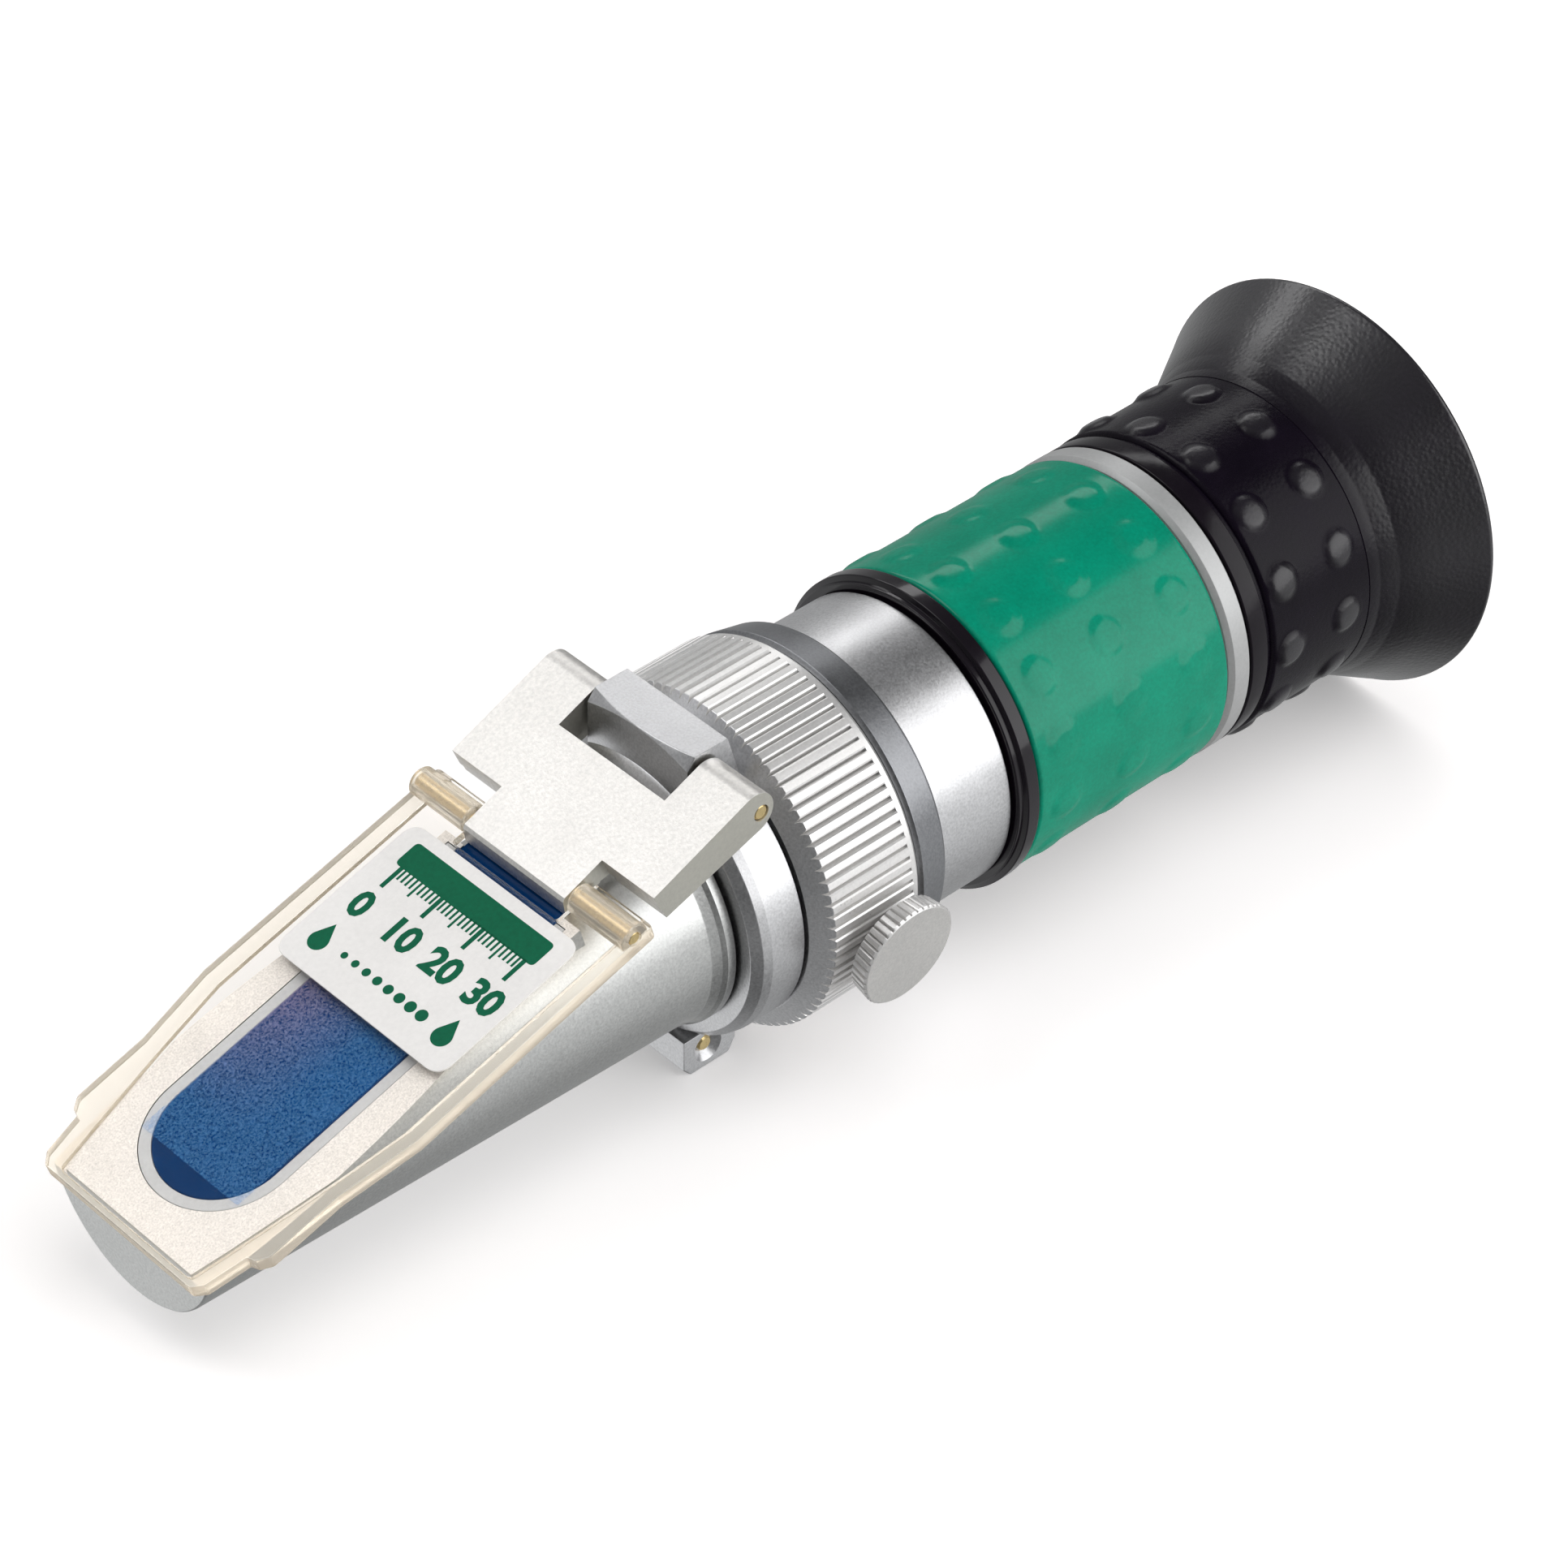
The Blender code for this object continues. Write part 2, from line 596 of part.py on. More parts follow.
def build_collar(frames, looks):
    crest_run = COLLAR_RADIUS - COLLAR_FACE_RADIUS
    collar = turned("hinge_collar", [
        (COLLAR_FRONT_X, COLLAR_FACE_RADIUS),
        (COLLAR_FRONT_X + crest_run, COLLAR_RADIUS - COLLAR_CREST_DROP),
        (COLLAR_FRONT_X + 2.0 * crest_run, COLLAR_RADIUS), (COLLAR_REAR_X, COLLAR_RADIUS)],
        [(COLLAR_FRONT_X, COLLAR_BORE), (COLLAR_REAR_X, COLLAR_BORE)], looks["satin_metal"],
        frames["axis"])
    block = side_profile("hinge_block", [
        (BLOCK_FRONT, BLOCK_FOOT), (BLOCK_REAR, BLOCK_FOOT), (BLOCK_REAR, BLOCK_SHOULDER),
        (BLOCK_TOP_REAR, BLOCK_TOP), (BLOCK_FRONT, BLOCK_TOP)],
        -BLOCK_HALF_WIDTH, BLOCK_HALF_WIDTH, None, frames["root"])
    # The block's front edge is chamfered by turning, so its corners are cut deepest.
    envelope = turned("turned_envelope", [
        (BLOCK_FRONT - 2.0 * PAST, ENVELOPE_FACE - EASE), (BLOCK_FRONT, ENVELOPE_FACE),
        (BLOCK_FRONT + PAST, ENVELOPE_EDGE), (BLOCK_REAR + 2.0 * PAST, ENVELOPE_RIM)],
        None, None, frames["axis"])
    boolean(block, envelope, "INTERSECT")
    join(collar, block)
    lug = side_profile("lower_lug", [
        (LUG_FRONT, LUG_ROOT), (LUG_FRONT, LUG_FRONT_CORNER), (LUG_FOOT_FRONT, -AXIS_HEIGHT),
        (LUG_FOOT_REAR, -AXIS_HEIGHT), (LUG_REAR, LUG_REAR_CORNER), (LUG_REAR, LUG_ROOT)],
        -LUG_HALF_WIDTH, LUG_HALF_WIDTH, None, frames["root"])
    join(collar, lug)
    reach = LUG_HALF_WIDTH + 2.0 * PAST
    hole = COVER_PIN_RADIUS + RUNNING_CLEARANCE
    cut(collar, rod("cover_pin_hole", hole, -reach, reach, None, frames["cover_pin"]))
    hole = LUG_PIN_RADIUS + RUNNING_CLEARANCE
    cut(collar, rod("lug_pin_hole", hole, -reach, reach, None, frames["lug_pin"]))
    for side in (-1.0, 1.0):
        mouth = side * (LUG_HALF_WIDTH + EASE)
        throat = side * (LUG_HALF_WIDTH - LUG_SINK_DEPTH)
        radii = (LUG_SINK_RADIUS / 2.0, LUG_SINK_RADIUS)
        if side < 0:
            radii = radii[::-1]
        sink = rod("lug_sink", radii[0], min(mouth, throat), max(mouth, throat), None,
                   frames["lug_pin"], PIN_STEPS, radii[1])
        cut(collar, sink)
    rod("cover_pin", COVER_PIN_RADIUS, -EAR_HALF_WIDTH, EAR_HALF_WIDTH, looks["brass"],
        frames["cover_pin"])
    pin_end = LUG_HALF_WIDTH - LUG_PIN_RECESS
    rod("lug_pin", LUG_PIN_RADIUS, -pin_end, pin_end, looks["brass"], frames["lug_pin"])


def build_barrel(frames, looks):
    axis = frames["axis"]
    metal = looks["satin_metal"]
    groove_front = O_RING_X - O_RING_GROOVE_WIDTH / 2.0
    groove_rear = O_RING_X + O_RING_GROOVE_WIDTH / 2.0
    seat_rear = SHOULDER_REAR_X + GAP
    tube = turned("main_tube", [
        (TUBE_FRONT_X, SPIGOT_RADIUS), (groove_front, SPIGOT_RADIUS),
        (groove_front, O_RING_GROOVE_RADIUS), (groove_rear, O_RING_GROOVE_RADIUS),
        (groove_rear, SPIGOT_RADIUS), (KNURL_FRONT_X, SPIGOT_RADIUS),
        (KNURL_FRONT_X, RING_SEAT_RADIUS), (seat_rear, RING_SEAT_RADIUS),
        (seat_rear, BARREL_RADIUS), (BARREL_REAR_X, BARREL_RADIUS),
        (BARREL_REAR_X, GRIP_SEAT_RADIUS), (TUBE_REAR_X, GRIP_SEAT_RADIUS)],
        [(TUBE_FRONT_X, SPIGOT_BORE), (BORE_STEP_X, SPIGOT_BORE), (BORE_STEP_X, TUBE_BORE),
         (TUBE_REAR_X, TUBE_BORE)], metal, axis)
    start = 90.0 - DRIVE_SLOT_HALF_ANGLE
    end = 90.0 + DRIVE_SLOT_HALF_ANGLE
    outside = RING_SEAT_RADIUS + PAST
    inside = TUBE_BORE - PAST
    sector = (arc((0.0, 0.0), outside, start, end, 14)
              + arc((0.0, 0.0), inside, end, start, 14))
    slot_half = DRIVE_PIN_RADIUS + GAP
    slot = extruded("drive_slot", [sector], DRIVE_PIN_X - slot_half, DRIVE_PIN_X + slot_half,
                    None, axis)
    cut(tube, slot)
    bpy.ops.mesh.primitive_torus_add(major_segments=INNER_STEPS, minor_segments=8,
                                     major_radius=O_RING_RADIUS * MM,
                                     minor_radius=O_RING_SECTION * MM)
    ring = bpy.context.object
    seal = place("nose_o_ring", ring.data, looks["black_rubber"], axis)
    bpy.data.objects.remove(ring, do_unlink=True)
    seal.location = (0.0, 0.0, O_RING_X * MM)
    seat = RING_SEAT_RADIUS + GAP
    turned("shoulder_ring", [
        (KNURL_REAR_X + GAP, SHOULDER_FACE_RADIUS), (SHOULDER_CREST_X, SHOULDER_RADIUS),
        (SHOULDER_EDGE_X, SHOULDER_EDGE_RADIUS), (SHOULDER_REAR_X, SHOULDER_REAR_RADIUS)],
        [(KNURL_REAR_X + GAP, seat), (SHOULDER_REAR_X, seat)], looks["dark_metal"], axis)
    seat = GRIP_SEAT_RADIUS + GAP
    for name, front, rear, radius, chamfer, look in (
            ("grip_front_ring", FRONT_RING_X, FRONT_RING_REAR_X, RING_RADIUS, RING_CHAMFER,
             looks["black_plastic"]),
            ("grip_sleeve", GRIP_FRONT_X, GRIP_REAR_X, GRIP_RADIUS, RING_CHAMFER,
             looks["green_rubber"]),
            ("grip_rear_ring", GRIP_REAR_X + GAP, TRIM_REAR_X, GRIP_RADIUS, TRIM_CHAMFER, metal)):
        turned(name, chamfered(front, rear, radius, chamfer), [(front, seat), (rear, seat)], look,
               axis)


def lens_cell(name, front, rear, radius, lip, aperture, bore, frames, looks):
    """Tube for a lens: the lens drops in from the rear and stops on a lip at the front."""
    return turned(name, [(front, radius), (rear, radius)],
                  [(front, aperture), (front + lip, aperture), (front + lip, bore), (rear, bore)],
                  looks["black_metal"], frames["axis"], INNER_STEPS)


def plain_ring(name, front, rear, radius, bore, frames, looks):
    return turned(name, [(front, radius), (rear, radius)], [(front, bore), (rear, bore)],
                  looks["black_metal"], frames["axis"], INNER_STEPS)


def build_compensator(frames, looks):
    axis = frames["axis"]
    bore = RING_SEAT_RADIUS + GAP
    ring = turned("knurled_ring", [
        (KNURL_FRONT_X, KNURL_FACE_RADIUS), (TEETH_FRONT_X, KNURL_CORE_RADIUS),
        (TEETH_REAR_X, KNURL_CORE_RADIUS), (KNURL_REAR_X, KNURL_REAR_RADIUS)],
        [(KNURL_FRONT_X, bore), (KNURL_REAR_X, bore)], looks["knurl_metal"], axis)
    teeth = tooth_ring(TOOTH_COUNT, TOOTH_TIP_RADIUS, TOOTH_ROOT_RADIUS)
    band = extruded("knurl_band", [teeth, circle(KNURL_BAND_BORE, INNER_STEPS)], TEETH_FRONT_X,
                    TEETH_REAR_X, None, axis)
    join(ring, band)
    cut(ring, rod("knob_screw_hole", KNOB_SCREW_RADIUS + RUNNING_CLEARANCE, PIN_SPLIT_RADIUS,
                  TOOTH_TIP_RADIUS + 2.0 * PAST, None, frames["knob"]))
    hole = DRIVE_PIN_RADIUS + RUNNING_CLEARANCE
    cut(ring, rod("drive_pin_hole", hole, PIN_SPLIT_RADIUS, DRIVE_PIN_HEAD + EASE, None,
                  frames["drive"]))
    cell = lens_cell("compensator_cell", COMPENSATOR_FRONT_X, COMPENSATOR_REAR_X,
                     COMPENSATOR_RADIUS, COMPENSATOR_LIP, COMPENSATOR_APERTURE, COMPENSATOR_BORE,
                     frames, looks)
    cut(cell, rod("cell_pin_hole", hole, DRIVE_PIN_FOOT - EASE, PIN_SPLIT_RADIUS, None,
                  frames["drive"]))
    rod("drive_pin", DRIVE_PIN_RADIUS, DRIVE_PIN_FOOT, DRIVE_PIN_HEAD, looks["brass"],
        frames["drive"])
    glass_radius = COMPENSATOR_BORE - GAP
    glass_front = COMPENSATOR_FRONT_X + COMPENSATOR_LIP + GAP
    lens = turned("compensator_prism", [(glass_front, glass_radius),
                                        (COMPENSATOR_GLASS_REAR_X, glass_radius)], None,
                  looks["lens_glass"], axis, INNER_STEPS)
    # The glass is a thin wedge: its front face leans back by WEDGE_DROP from top to bottom.
    edge = glass_radius + PAST
    slant_x = glass_front + GAP
    slant = side_profile("prism_slant", [(glass_front - PAST, edge), (slant_x, edge),
                                         (slant_x + WEDGE_DROP, -edge),
                                         (glass_front - PAST, -edge)],
                         -edge, edge, None, frames["root"])
    cut(lens, slant)
    plain_ring("compensator_retainer", COMPENSATOR_GLASS_REAR_X + GAP, COMPENSATOR_REAR_X - GAP,
               glass_radius, COMPENSATOR_APERTURE, frames, looks)


def build_knob(frames, looks):
    frame = frames["knob"]
    rim = tooth_ring(KNOB_TEETH, KNOB_RADIUS, KNOB_RADIUS - KNOB_TOOTH_DEPTH)
    knob = extruded("thumb_knob", [rim], KNOB_BACK, KNOB_FACE, looks["knurl_metal"], frame)
    join(knob, rod("knob_boss", KNOB_BOSS_RADIUS, KNOB_BOSS_FOOT, KNOB_BACK + GAP, None, frame,
                   INNER_STEPS))
    cut(knob, rod("knob_socket", KNOB_SCREW_RADIUS + RUNNING_CLEARANCE, KNOB_BOSS_FOOT - PAST,
                  KNOB_SCREW_HEAD + EASE, None, frame))
    rod("knob_screw", KNOB_SCREW_RADIUS, KNOB_SCREW_FOOT, KNOB_SCREW_HEAD, looks["satin_metal"],
        frame)


def build_optics(frames, looks):
    axis = frames["axis"]
    glass = looks["lens_glass"]
    lens_cell("objective_cell", OBJECTIVE_FRONT_X, OBJECTIVE_REAR_X, CELL_RADIUS, OBJECTIVE_LIP,
              OBJECTIVE_APERTURE, OBJECTIVE_BORE, frames, looks)
    radius = OBJECTIVE_BORE - GAP
    front = OBJECTIVE_FRONT_X + OBJECTIVE_LIP + GAP
    rear = front + OBJECTIVE_THICKNESS
    turned("objective_lens", lens_profile(front, rear, radius, OBJECTIVE_BULGE), None, glass,
           axis, INNER_STEPS)
    plain_ring("objective_retainer", rear, OBJECTIVE_REAR_X - GAP, radius, OBJECTIVE_APERTURE,
               frames, looks)
    lens_cell("reticle_cell", RETICLE_FRONT_X, RETICLE_REAR_X, CELL_RADIUS, RETICLE_LIP,
              RETICLE_APERTURE, RETICLE_BORE, frames, looks)
    radius = RETICLE_BORE - GAP
    front = RETICLE_FRONT_X + RETICLE_LIP + GAP
    rear = front + RETICLE_THICKNESS
    turned("reticle_disc", [(front, radius), (rear, radius)], None, glass, axis, INNER_STEPS)
    plain_ring("reticle_retainer", rear + GAP, RETICLE_REAR_X - GAP, radius, RETICLE_APERTURE,
               frames, looks)


def lens_profile(front, rear, radius, bulge):
    """Biconvex lens: a cylinder edge between two shallow domes, nearly closed on the axis."""
    shares = [(i + 0.5) / DOME_STEPS for i in range(DOME_STEPS)]
    edge_front = front + bulge
    edge_rear = rear - bulge
    left = [(edge_front - bulge * (1.0 - share ** 2), radius * share) for share in shares]
    right = [(edge_rear + bulge * (1.0 - share ** 2), radius * share) for share in shares[::-1]]
    return left + [(edge_front, radius), (edge_rear, radius)] + right


def build_eyepiece(frames, looks):
    axis = frames["axis"]
    sleeve = plain_ring("eyepiece_sleeve", EYEPIECE_FRONT_X, EYEPIECE_REAR_X, CELL_RADIUS,
                        EYEPIECE_BORE, frames, looks)
    reach = OCULAR_TRAVEL + GUIDE_PIN_RADIUS + GAP
    half = GUIDE_PIN_RADIUS + EASE
    low = EYEPIECE_BORE - PAST
    high = CELL_RADIUS + PAST
    guide_slot = extruded("guide_slot", [[(-half, low), (half, low), (half, high), (-half, high)]],
                          GUIDE_PIN_X - reach, GUIDE_PIN_X + reach, None, axis)
    cut(sleeve, guide_slot)
    tube_seat = GRIP_SEAT_RADIUS + GAP
    turned("focus_ring",
           chamfered(FOCUS_FRONT_X, FOCUS_BAND_REAR_X, FOCUS_BAND_RADIUS, FOCUS_CHAMFER)
           + [(FOCUS_BODY_X - FOCUS_CHAMFER, FOCUS_GROOVE_RADIUS), (FOCUS_BODY_X, FOCUS_RADIUS),
              (FOCUS_REAR_X, FOCUS_RADIUS), (FOCUS_REAR_X, FOCUS_NECK_RADIUS),
              (NECK_REAR_X, FOCUS_NECK_RADIUS)],
           [(FOCUS_FRONT_X, tube_seat), (FOCUS_STEP_X, tube_seat), (FOCUS_STEP_X, FOCUS_BORE),
            (HELIX_FRONT_X, FOCUS_BORE), (HELIX_FRONT_X, HELIX_RADIUS),
            (HELIX_REAR_X, HELIX_RADIUS), (HELIX_REAR_X, FOCUS_BORE), (NECK_REAR_X, FOCUS_BORE)],
           looks["black_rubber"], axis)
    socket = FOCUS_NECK_RADIUS + GAP
    turned("eyecup", [
        (FOCUS_REAR_X + GAP, CUP_BASE_RADIUS), (CUP_BASE_REAR_X, CUP_BASE_REAR_RADIUS),
        (CUP_WAIST_X, CUP_WAIST_RADIUS), (CUP_MIDDLE_X, CUP_MIDDLE_RADIUS),
        (CUP_LIP_X - CUP_LIP_DEPTH, CUP_RIM_RADIUS - CUP_LIP_DROP), (CUP_LIP_X, CUP_RIM_RADIUS),
        (CUP_REAR_X, CUP_RIM_RADIUS - RUNNING_CLEARANCE)],
        [(FOCUS_REAR_X + GAP, socket), (NECK_REAR_X + GAP, socket), (NECK_REAR_X + GAP, CUP_BORE),
         (CUP_FLOOR_X, CUP_BORE), (CUP_MIDDLE_X + 0.5, CUP_INNER_RADIUS),
         (CUP_REAR_X, CUP_MOUTH_RADIUS)],
        looks["black_rubber"], axis)
    cell = lens_cell("ocular_cell", OCULAR_FRONT_X, OCULAR_REAR_X, OCULAR_RADIUS, OCULAR_LIP,
                     LENS_BORE - 1.0, LENS_BORE, frames, looks)
    cut(cell, rod("cell_guide_hole", GUIDE_PIN_RADIUS + RUNNING_CLEARANCE, GUIDE_PIN_FOOT - EASE,
                  OCULAR_RADIUS + PAST, None, frames["guide"]))
    rod("guide_pin", GUIDE_PIN_RADIUS, GUIDE_PIN_FOOT, GUIDE_PIN_HEAD, looks["brass"],
        frames["guide"])
    radius = LENS_BORE - GAP
    front = OCULAR_FRONT_X + OCULAR_LIP + GAP
    turned("field_lens", lens_profile(front, front + OCULAR_LENS_THICKNESS, radius, FIELD_BULGE),
           None, looks["lens_glass"], axis, INNER_STEPS)
    plain_ring("ocular_spacer", SPACER_FRONT_X, SPACER_REAR_X, radius, SPACER_BORE, frames, looks)
    turned("eye_lens", lens_profile(SPACER_REAR_X, SPACER_REAR_X + OCULAR_LENS_THICKNESS, radius,
                                    EYE_BULGE), None, looks["lens_glass"], axis, INNER_STEPS)
    plain_ring("ocular_retainer", OCULAR_REAR_X - GAP - RETAINER_WIDTH, OCULAR_REAR_X - GAP,
               radius, RETAINER_BORE, frames, looks)


def build_bracket(frames, looks):
    frame = frames["cover"]
    rear = EAR_ROUND_CENTRE[0] + EAR_ROUND_RADIUS + 2.0 * PAST
    plan_half = [(NOTCH_FRONT, NOTCH_HALF_WIDTH), (rear, NOTCH_HALF_WIDTH),
                 (rear, EAR_HALF_WIDTH), (EAR_FRONT, EAR_HALF_WIDTH),
                 (EAR_FRONT, TONGUE_HALF_WIDTH), (TONGUE_FRONT - PAST, TONGUE_HALF_WIDTH)]
    tall = BRACKET_TOP + PAST
    wide = EAR_HALF_WIDTH + PAST
    bracket = extruded("hinge_bracket", [mirrored(plan_half)], -tall, tall,
                       looks["bracket_metal"], frame)
    # Each ear is rounded at its rear, round the pin. The tongue is thinner than the ears.
    ear_root = EAR_FRONT + EASE
    profile = arc(EAR_ROUND_CENTRE, EAR_ROUND_RADIUS, EAR_ROUND_START, 90.0, 9) + [
        (TONGUE_FRONT + TONGUE_CHAMFER, BRACKET_TOP),
        (TONGUE_FRONT, BRACKET_TOP - TONGUE_CHAMFER),
        (TONGUE_FRONT - TONGUE_RAKE, TONGUE_TIP_UNDERSIDE), (ear_root, TONGUE_UNDERSIDE),
        (ear_root, BRACKET_UNDERSIDE)]
    boolean(bracket, side_profile("bracket_profile", profile, -wide, wide, None, frame),
            "INTERSECT")
    relief = side_profile("bracket_relief", [
        (RELIEF_REAR, RELIEF_REAR_Z), (RELIEF_FRONT, RELIEF_FRONT_Z), (RELIEF_FRONT, -tall),
        (RELIEF_REAR, -tall)], -NOTCH_HALF_WIDTH, NOTCH_HALF_WIDTH, None, frame)
    cut(bracket, relief)
    hole = COVER_PIN_RADIUS + RUNNING_CLEARANCE
    cut(bracket, rod("ear_pin_hole", hole, -wide, wide, None, frames["cover_pin"]))
    hole = PLATE_PIN_RADIUS + RUNNING_CLEARANCE
    cut(bracket, rod("tongue_pin_hole", hole, -wide, wide, None, frames["plate_pin"]))
    rod("plate_pin", PLATE_PIN_RADIUS, -KNUCKLE_END, KNUCKLE_END, looks["brass"],
        frames["plate_pin"])


def build_plate(frames, looks):
    frame = frames["plate"]
    low = PLATE_TOP - RIM_THICKNESS
    half = [(PLATE_REAR, PLATE_REAR_HALF_WIDTH), (PLATE_SHOULDER, PLATE_HALF_WIDTH),
            (TAB_REAR, TAB_HALF_WIDTH), (TAB_FRONT + TAB_CORNER, TAB_HALF_WIDTH),
            (TAB_FRONT, TAB_HALF_WIDTH - TAB_CORNER),
            (TAB_FRONT - TAB_STEP, TAB_ROOT_HALF_WIDTH),
            (PLATE_FRONT + PLATE_CORNER, PLATE_FRONT_HALF_WIDTH + PLATE_CORNER),
            (PLATE_FRONT, PLATE_FRONT_HALF_WIDTH)]
    plate = extruded("daylight_plate", [mirrored(half)], low, PLATE_TOP, looks["clear_plastic"],
                     frame)
    pocket_half = ([(PLATE_REAR + PAST, PLATE_HALF_WIDTH - RIM_WIDTH)]
                   + plate_half_outline(RIM_WIDTH, PLATE_FRONT + FRONT_RIM))
    pocket = extruded("plate_pocket", [mirrored(pocket_half)], low - PAST,
                      PLATE_TOP - SHEET_THICKNESS, None, frame)
    cut(plate, pocket)
    notch = extruded("tongue_notch", [mirrored([(PLATE_REAR + 2.0 * PAST, NOTCH_HALF_WIDTH),
                                                (NOTCH_DEPTH, NOTCH_HALF_WIDTH)])],
                     low - 2.0 * PAST, PLATE_TOP + KNUCKLE_RADIUS + PAST, None, frame)
    for side in (-1.0, 1.0):
        ends = sorted((side * NOTCH_HALF_WIDTH, side * KNUCKLE_END))
        knuckle = rod("plate_knuckle", KNUCKLE_RADIUS, ends[0], ends[1], None,
                      frames["plate_pin"], INNER_STEPS)
        join(plate, knuckle)
    cut(plate, notch)
    reach = KNUCKLE_END + PAST
    cut(plate, rod("knuckle_hole", PLATE_PIN_RADIUS + RUNNING_CLEARANCE, -reach, reach, None,
                   frames["plate_pin"]))
    front = LABEL_FRONT + LABEL_CORNER
    rear = LABEL_REAR - LABEL_CORNER
    side = LABEL_HALF_WIDTH - LABEL_CORNER
    label = []
    for centre, start in (((rear, side), 0.0), ((front, side), 90.0), ((front, -side), 180.0),
                          ((rear, -side), 270.0)):
        label += arc(centre, LABEL_CORNER, start, start + 90.0, 4)
    low = PLATE_TOP + LABEL_LIFT
    extruded("plate_label", [label], low, low + LABEL_THICKNESS, looks["label_film"], frame)


def main():
    clear_scene()
    for group in (PARTS, CUTTERS):
        bpy.context.scene.collection.children.link(group)
    frames = make_frames()
    looks = make_materials()
    build_housing(frames, looks)
    build_prism(frames, looks)
    build_collar(frames, looks)
    build_barrel(frames, looks)
    build_compensator(frames, looks)
    build_knob(frames, looks)
    build_optics(frames, looks)
    build_eyepiece(frames, looks)
    build_bracket(frames, looks)
    build_plate(frames, looks)


main()
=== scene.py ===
"""Looks of the handheld refractometer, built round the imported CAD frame.

Lengths in this file are millimetres in the frame's own axes: +X along the optical axis
from the nose to the eyecup, +Z up, with the axis AXIS_Z above the origin.
"""

import math

import bmesh
import bpy
import numpy as np
from mathutils import Matrix, Vector


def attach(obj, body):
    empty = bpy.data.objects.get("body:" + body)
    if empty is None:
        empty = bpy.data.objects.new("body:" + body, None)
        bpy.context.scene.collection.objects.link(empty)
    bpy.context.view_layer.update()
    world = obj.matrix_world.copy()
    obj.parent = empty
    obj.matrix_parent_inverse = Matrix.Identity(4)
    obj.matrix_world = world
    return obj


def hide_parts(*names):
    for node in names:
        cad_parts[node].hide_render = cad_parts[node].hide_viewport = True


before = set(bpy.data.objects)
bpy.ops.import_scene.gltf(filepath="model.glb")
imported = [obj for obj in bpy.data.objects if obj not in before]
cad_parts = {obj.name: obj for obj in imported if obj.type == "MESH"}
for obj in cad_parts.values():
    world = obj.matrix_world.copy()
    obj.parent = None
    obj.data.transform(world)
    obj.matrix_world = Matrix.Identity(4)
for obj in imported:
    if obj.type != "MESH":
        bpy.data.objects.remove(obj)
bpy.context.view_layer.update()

MM = 0.001
AXIS_Z = 16.7
DECK_SLOPE = math.radians(16.63)
COVER_SLOPE = math.radians(23.0)
# Stations of the front edge of the lug's foot and of the eyecup's widest edge, and its radius.
LUG_FRONT = -2.1
CUP_RIM = 81.75
CUP_RADIUS = 20.0
# Radius of the collar's pin holes.
PIN_HOLE = 0.76
# The clear plate in its own frame: the foot of its rims, its top, and its sheet's thickness.
PLATE_LOW = -1.644
PLATE_TOP = -0.244
SHEET = 0.8
# The label's top in the same frame, and the thickness of its print.
LABEL_TOP = PLATE_TOP + 0.3
INK = 0.015
# Domes round the focus sleeve: how many, their stations, its radius, their size and start angle.
FOCUS_DOMES = (14, (61.0, 68.2), 14.92, 1.95, 126.0)

# Points round a turned piece, round a larger one, and to each tooth of a knurl.
LATHE_STEPS = 144
FINE_STEPS = 192
TOOTH_STEPS = 8

# Brightness of the walls as the part mirrors them and as the camera sees them, the floor's own
# glow, and half the floor's width.
WALL_LEVEL = 0.39
WALL_SEEN = 0.92
FLOOR_GLOW = 0.28
FLOOR_SIZE = 6000.0
# Zones of the studio walls: direction, where each starts and is full as the cosine of the
# angle from it, and the factor on the walls' brightness there.
WALL_ZONES = (((-0.62, -0.70, 0.35), 0.35, 0.95, 0.35),
              ((1.0, 0.1, 0.2), 0.60, 0.95, 0.30),
              ((0.45, -0.12, 0.88), 0.80, 0.97, 0.50),
              ((0.12, 0.52, 0.84), 0.93, 0.985, 0.30),
              ((0.42, -0.88, -0.14), 0.55, 0.97, 2.1),
              ((-0.15, -0.55, -0.82), 0.80, 0.96, 0.35),
              ((-0.53, 0.546, -0.648), 0.80, 0.95, 2.2))
# The point that the lamps face.
LAMP_AIM = (15.0, 0.0, 12.0)

# The camera in metres: its place, and its right, up and viewing directions.
CAMERA_PLACE = (-0.22873, -0.24994, 0.31594)
CAMERA_RIGHT = (0.7282907, -0.6850114, 0.0187626)
CAMERA_UP = (0.4339597, 0.4822218, 0.7610132)
CAMERA_AHEAD = (0.5303504, 0.5460967, -0.6484650)
CAMERA_LENS = 124.775


# ---------------------------------------------------------------- frames

def tilted(x, z, slope):
    """A frame in the mid plane, tilted about Y; z is measured from the optical axis."""
    return Matrix.Translation((x, 0.0, AXIS_Z + z)) @ Matrix.Rotation(-slope, 4, "Y")


def across(x, z):
    """A frame whose local Z runs along -Y, for pins across the part."""
    return Matrix.Translation((x, 0.0, AXIS_Z + z)) @ Matrix.Rotation(math.radians(90.0), 4, "X")


ROOT = Matrix.Translation((0.0, 0.0, AXIS_Z))
AXIS = ROOT @ Matrix.Rotation(math.radians(90.0), 4, "Y")
DECK = tilted(0.0, 14.04, DECK_SLOPE)
COVER = tilted(-0.35, 15.35, COVER_SLOPE)
COVER_PIN = across(-0.35, 15.35)
PLATE = tilted(-14.68, 10.95, DECK_SLOPE)
PLATE_PIN = across(-14.68, 10.95)
LUG_PIN = across(-0.2, -14.5)
KNOB_TILT = math.radians(5.9)
KNOB = (Matrix.Translation((10.37, 0.0, AXIS_Z))
        @ Matrix.Rotation(math.radians(90.0) + KNOB_TILT, 4, "X"))


# ---------------------------------------------------------------- meshes

